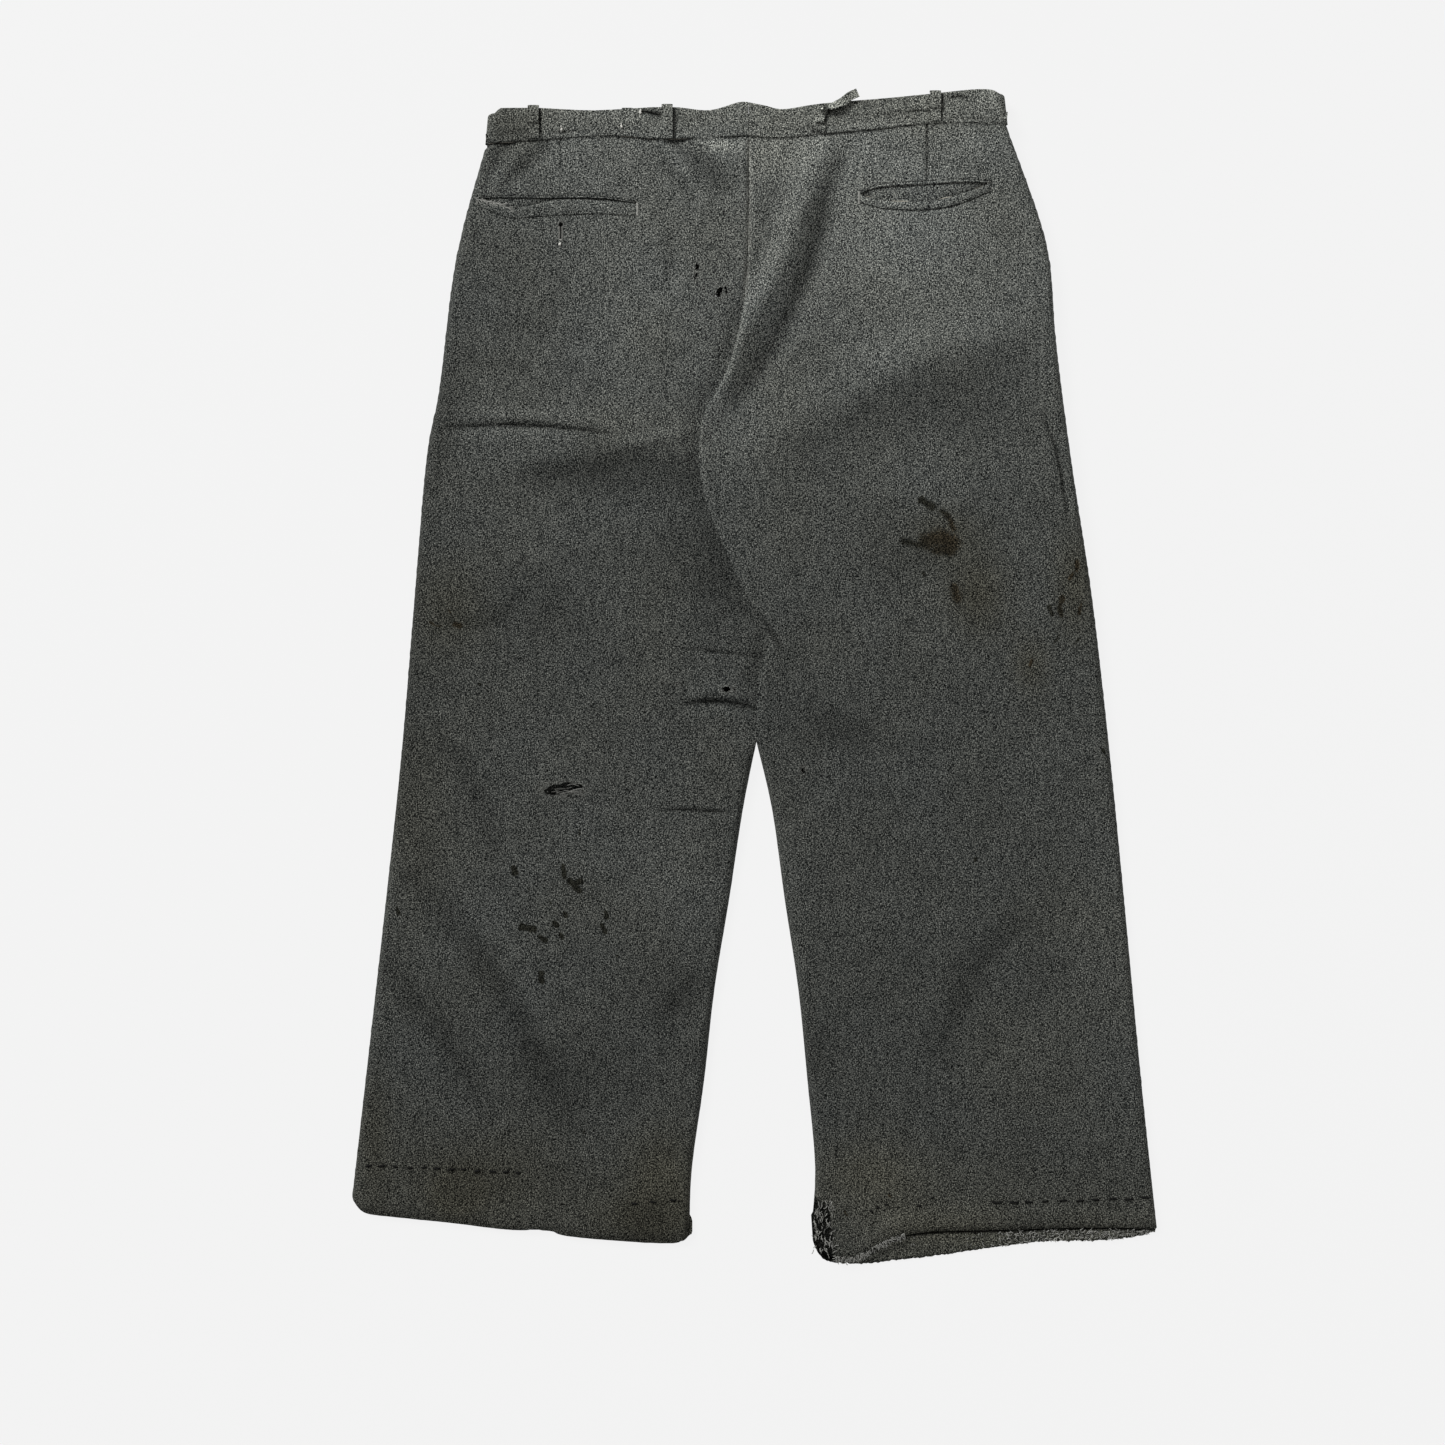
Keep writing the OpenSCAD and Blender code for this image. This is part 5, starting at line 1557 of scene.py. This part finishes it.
def hem_fringe():
    """Broken threads along the worn right hem and at its torn corner."""
    pale, grey = [], []

    def add(path, thin, share):
        (pale if random.random() < share else grey).append((path, thin))

    for _ in range(420):
        x = random.uniform(128, 352)
        if random.random() < 0.12 + 0.88 * ease((x - 205) / 30):
            low = float(front_hem_y["right"](x))
            y = low + random.uniform(0.5, max(1, float(hem_y["right"](x)) - low - 1))
            z = 3.4 + random.uniform(-0.3, 0.8)
            path = loose_end(x, y, z, random.uniform(-3.6, 0.4), random.uniform(1.5, 4))
            path = [(px, max(py, low + random.uniform(-0.6, 0.8)), z) for px, py, _ in path]
            add(path, random.uniform(0.22, 0.40), 0.5)
    for _ in range(230):
        x = random.uniform(70, 133)
        y = float(hem_y["right"](x)) + random.uniform(-1, 3.5)
        path = loose_end(x, y, height_at("right", x, y + 3) + 0.6, random.uniform(-2.6, -0.5),
                         random.uniform(1.5, 4.5), 0.6)
        add(path, random.uniform(0.22, 0.38), 0.55)
    for _ in range(110):
        y = random.uniform(-508, -462)
        edge = float(inner_x["right"](max(y, -489)))
        x = random.uniform(edge + 1.5, 71)
        sideways = random.choice((-1, 1)) * random.uniform(1.0, 2.0)
        path = loose_end(x, y, 0, sideways, random.uniform(2, 6), 0.3)
        path = [
            (max(px, edge - 0.8), py, height_at("right", px, max(py, -487)) - 0.6 + random.uniform(0, 1.6))
            for px, py, _ in path
        ]
        add(path, random.uniform(0.20, 0.36), 0.55)
    tubes("right_hem_pale_fringe", pale, WORN_LOOK, "right_leg")
    tubes("right_hem_grey_fringe", grey, GREY_LOOK, "right_leg")
    paths = []
    for _ in range(8):
        x = random.uniform(-66, -58)
        y = float(hem_y["left"](x)) + random.uniform(3, 9)
        z, heading = random.uniform(2.5, 4), random.uniform(-2.0, 0.4)
        paths.append((loose_end(x, y, z, heading, random.uniform(1, 2)), 0.18))
    tubes("left_hem_fringe", paths, GREY_LOOK, "left_leg")


# ---------------------------------------------------------------- the fly and its buttons
def flap(name, node, lift, thickness, shade=1.0, holes=()):
    """A cloth of the fly's flap with its CAD node's outline in plan, lying face down."""
    low, high = corners(node)
    outline = node_outline(node, np.arange(low[1] + 0.5, high[1], 3.0), 0.0, 3.0, 140)
    plan, faces = fill(outline, holes, 4.0)
    x, y = plan[:, 0], plan[:, 1]
    gap, _ = to_line(x, y, closed(outline))
    z = low[2] + lift + 0.12 * ripple(x, y, 14, 141) + 0.3 * (1 - turn_over(gap, 1.5))
    cloth = Cloth().add(side_by_side(x, y, z), faces[:, ::-1], thickness, "left", shade=shade)
    piece(name, cloth.mesh(name), CLOTH_LOOK, "fly_flap", [node])


def slot_outline(x0, x1, y):
    """A buttonhole with pointed ends."""
    lower, upper = [(x0, y - 0.5), (x1, y - 0.5)], [(x1, y + 0.5), (x0, y + 0.5)]
    return np.array([*lower, (x1 + 0.6, y), *upper, (x0 - 0.6, y)])


def button_mesh(name, middles, radius, z_low, z_high):
    """Round four-hole buttons with a raised rim and a dished middle, face down."""
    points, faces = [], []
    height = z_high - z_low
    profile = [(0.0, 0.55), (0.30, 0.50), (0.55, 0.42), (0.66, 0.10), (0.78, 0.0), (0.90, 0.02), (0.98, 0.22),
               (1.0, 0.5), (0.96, 0.86), (0.80, 1.0), (0.0, 1.0)]
    count = 40
    for mx, my in middles:
        base = len(points)
        for r, h in profile:
            reach_out = radius * max(r, 0.004)
            for k in range(count):
                a = 2 * math.pi * k / count
                x, y = mx + reach_out * math.cos(a), my + reach_out * math.sin(a)
                points.append((x, y, z_low + h * height))
        for i in range(len(profile) - 1):
            for k in range(count):
                a, b = base + i * count + k, base + i * count + (k + 1) % count
                faces.append((a, a + count, b + count, b))
    return new_mesh(name, points, faces, sharp=45)


def button_threads(name, middles, z_face, z_cloth, body):
    """Two crossed stitches on each button's face and the shank behind it."""
    paths = []
    for mx, my in middles:
        for dx, dy in ((1, 1), (1, -1)):
            paths.append(([(mx - dx * 1.5, my - dy * 1.5, z_face + 0.4), (mx, my, z_face - 0.15),
                           (mx + dx * 1.5, my + dy * 1.5, z_face + 0.4)], 0.4))
        for dx, dy in ((1, 0.6), (-1, 0.6), (0, -1)):
            paths.append(([(mx + dx * 0.6, my + dy * 0.6, z_face + 1.0), (mx, my, (z_face + z_cloth) / 2),
                           (mx - dx * 0.5, my - dy * 0.5, z_cloth)], 0.5))
    tubes(name, paths, DARK_LOOK, body)


def fly():
    """The fly's overlap, its buttonholes, the shield under it, the buttons and their threads."""
    overlap_low, overlap_high = corners("fly_overlap")
    buttons_low, buttons_high = corners("fly_buttons")
    radius = (buttons_high[0] - buttons_low[0]) / 2
    count = 4
    middle_x = (buttons_low[0] + buttons_high[0]) / 2
    ys = np.linspace(buttons_low[1] + radius, buttons_high[1] - radius, count)
    middles = [(middle_x, y) for y in ys]
    flap("fly_overlap_cloth", "fly_overlap", 0.25, 0.85)
    slots = [slot_outline(middle_x - 7.2, middle_x + 5, y) for y in ys]
    flap("fly_buttonhole_strip", "fly_buttonhole_facing", 0.1, 0.55, 0.8, slots)
    waist_low, waist_high = corners("waist_button")
    waist_middle = ((waist_low[0] + waist_high[0]) / 2, (waist_low[1] + waist_high[1]) / 2)
    band_slot = slot_outline(waist_middle[0] - 7, waist_middle[0] + 8, waist_middle[1])
    flap("waistband_tab_cloth", "waistband_tab", 0.1, 1.9, holes=[band_slot])
    shield_low, shield_high = corners("fly_shield")
    shield_z = shield_high[2] - 1.2
    rows = []
    for x, z in ((shield_low[0], 0.1), (shield_low[0] + 1.5, 0), (-10, 0.1), (6, 0), (18, 0.1), (27, 0.0),
                 (30, -0.4), (31.4, -1.6), (31.8, -3.2)):
        ys = np.linspace(shield_low[1] + 1, shield_high[1] - 2, 44)
        wave = 0.12 * ripple(np.full(44, x), ys, 18, 151)
        rows.append(side_by_side(np.full(44, x), ys, shield_z + z + wave))
    cloth = ribbon(Cloth(), rows, -0.9, "right", shade=0.85)
    piece("fly_shield_cloth", cloth.mesh("shield"), CLOTH_LOOK, "seat", ["fly_shield"])
    mesh = button_mesh("fly_button", middles, radius, buttons_low[2], buttons_low[2] + 2.4)
    piece("fly_button_set", mesh, BUTTON_LOOK, "seat", ["fly_buttons"])
    button_threads("fly_button_threads", middles, buttons_low[2] + 0.9, shield_z, "seat")
    waist_radius = (waist_high[0] - waist_low[0]) / 2
    mesh = button_mesh("waist_button_disc", [waist_middle], waist_radius, waist_low[2], waist_low[2] + 1.9)
    piece("waist_button_disc", mesh, BUTTON_LOOK, "seat", ["waist_button"])
    button_threads("waist_button_threads", [waist_middle], waist_low[2] + 0.8, shield_z, "seat")
    stitches = []
    hinge_x = overlap_low[0]
    end_y = overlap_low[1]
    curve = [(hinge_x + 3.5, 470), (hinge_x + 3.5, 400), (hinge_x + 4, end_y + 44),
             (hinge_x + 12, end_y + 18), (hinge_x + 28, end_y + 5), (overlap_high[0] - 3, end_y + 3)]
    line = resample(smooth_line(curve), 100)
    for a, b in zip(line[:-1:2], line[1::2]):
        middle = ((a[0] + b[0]) / 2, (a[1] + b[1]) / 2, 0.14)
        stitches.append(([(a[0], a[1], 0.55), middle, (b[0], b[1], 0.55)], 0.22))
    tubes("fly_stitching", stitches, DARK_LOOK, "fly_flap")


def pocket_button():
    """The button inside the left back pocket."""
    low, high = corners("back_pocket_button")
    middle = ((low[0] + high[0]) / 2, (low[1] + high[1]) / 2)
    radius = (high[0] - low[0]) / 2
    face = min(high[2], height_at("left", *middle) - 2.4)
    mesh = button_mesh("pocket_button_disc", [middle], radius, face, face - 2.0)
    piece("pocket_button_disc", mesh, BUTTON_LOOK, "seat", ["back_pocket_button"])


def front_pocket_edges():
    """The turned edges that stiffen the slanted mouths."""
    for side in SIDES:
        node = f"{side}_front_pocket_edge"
        low = corners(node)[0]
        centre, along, across = front_mouth(side)
        sign = SIDES[side]
        rows = []
        for b in (1.2, 4.0, 8.0):
            at = np.linspace(-64, 62, 26)
            places = centre + np.outer(at, along) - sign * across * b
            rows.append(side_by_side(places[:, 0], places[:, 1], np.full(26, low[2] + 0.1 + 0.05 * b)))
        cloth = ribbon(Cloth(), rows, -0.35, side, flip=sign > 0, shade=0.9)
        piece(f"{side}_front_pocket_edge_cloth", cloth.mesh("edge"), CLOTH_LOOK, "seat", [node])


# ---------------------------------------------------------------- making it all
for name in SIDES:
    front_cloth(name)
    back_cloth(name)
    waistband(name)
    waistband_lining(name)
    pocket_lips(name)
    pocket_facing(name)
    back_pouch(name)
    front_pouch(name)
    leg_seams(name)
    hem_facing(name)
seat_seams()
dart_folds()
back_loops()
torn_loop()
front_pocket_edges()
fly()
pocket_button()
hem_stitches()
bar_tacks()
brace_threads()
tear_threads()
hem_fringe()


# ---------------------------------------------------------------- floor, light and camera
CENTRE = Vector((-0.0279, -0.0400, 0.012))  # what the camera looks straight down at
VIEW_WIDTH = 1.2716  # width of the picture there, in metres
CAMERA_HEIGHT = 2.6


def floor():
    """A plain pale floor."""
    mesh = bpy.data.meshes.new("floor")
    half = 120.0
    square = [(-half, -half, 0), (half, -half, 0), (half, half, 0), (-half, half, 0)]
    mesh.from_pydata(square, [], [(0, 1, 2, 3)])
    obj = bpy.data.objects.new("floor", mesh)
    bpy.context.scene.collection.objects.link(obj)
    obj.location.z = -0.0006
    material = bpy.data.materials.new("pale_floor")
    material.use_nodes = True
    tree = material.node_tree
    shader = tree.nodes["Principled BSDF"]
    shader.inputs["Base Color"].default_value = (0.04, 0.04, 0.04, 1)
    shader.inputs["Roughness"].default_value = 1.0
    shader.inputs["Specular IOR Level"].default_value = 0.0
    shader.inputs["Emission Color"].default_value = (1, 1, 1, 1)
    shader.inputs["Emission Strength"].default_value = 0.86
    mesh.materials.append(material)


def area_light(name, place, size, watts):
    """A soft round light that points at the middle of the trousers."""
    light = bpy.data.lights.new(name, "AREA")
    light.shape = "DISK"
    light.size = size
    light.energy = watts
    obj = bpy.data.objects.new(name, light)
    bpy.context.scene.collection.objects.link(obj)
    obj.location = place
    obj.rotation_euler = (CENTRE - Vector(place)).to_track_quat("-Z", "Y").to_euler()


def light_and_camera():
    """Plain soft light, and the camera straight above."""
    scene = bpy.context.scene
    scene.view_settings.view_transform = "Standard"
    world = bpy.data.worlds.new("studio")
    scene.world = world
    world.use_nodes = True
    world.node_tree.nodes["Background"].inputs["Color"].default_value = (1, 1, 1, 1)
    world.node_tree.nodes["Background"].inputs["Strength"].default_value = 0.22
    area_light("key", (-4.0, 4.4, 4.6), 3.0, 600)
    area_light("fill", (1.6, -0.6, 3.2), 2.5, 8)
    camera = bpy.data.cameras.new("camera")
    camera.lens = camera.sensor_width * (CAMERA_HEIGHT - CENTRE.z) / VIEW_WIDTH
    obj = bpy.data.objects.new("camera", camera)
    scene.collection.objects.link(obj)
    obj.location = (CENTRE.x, CENTRE.y, CAMERA_HEIGHT)
    scene.camera = obj


floor()
light_and_camera()
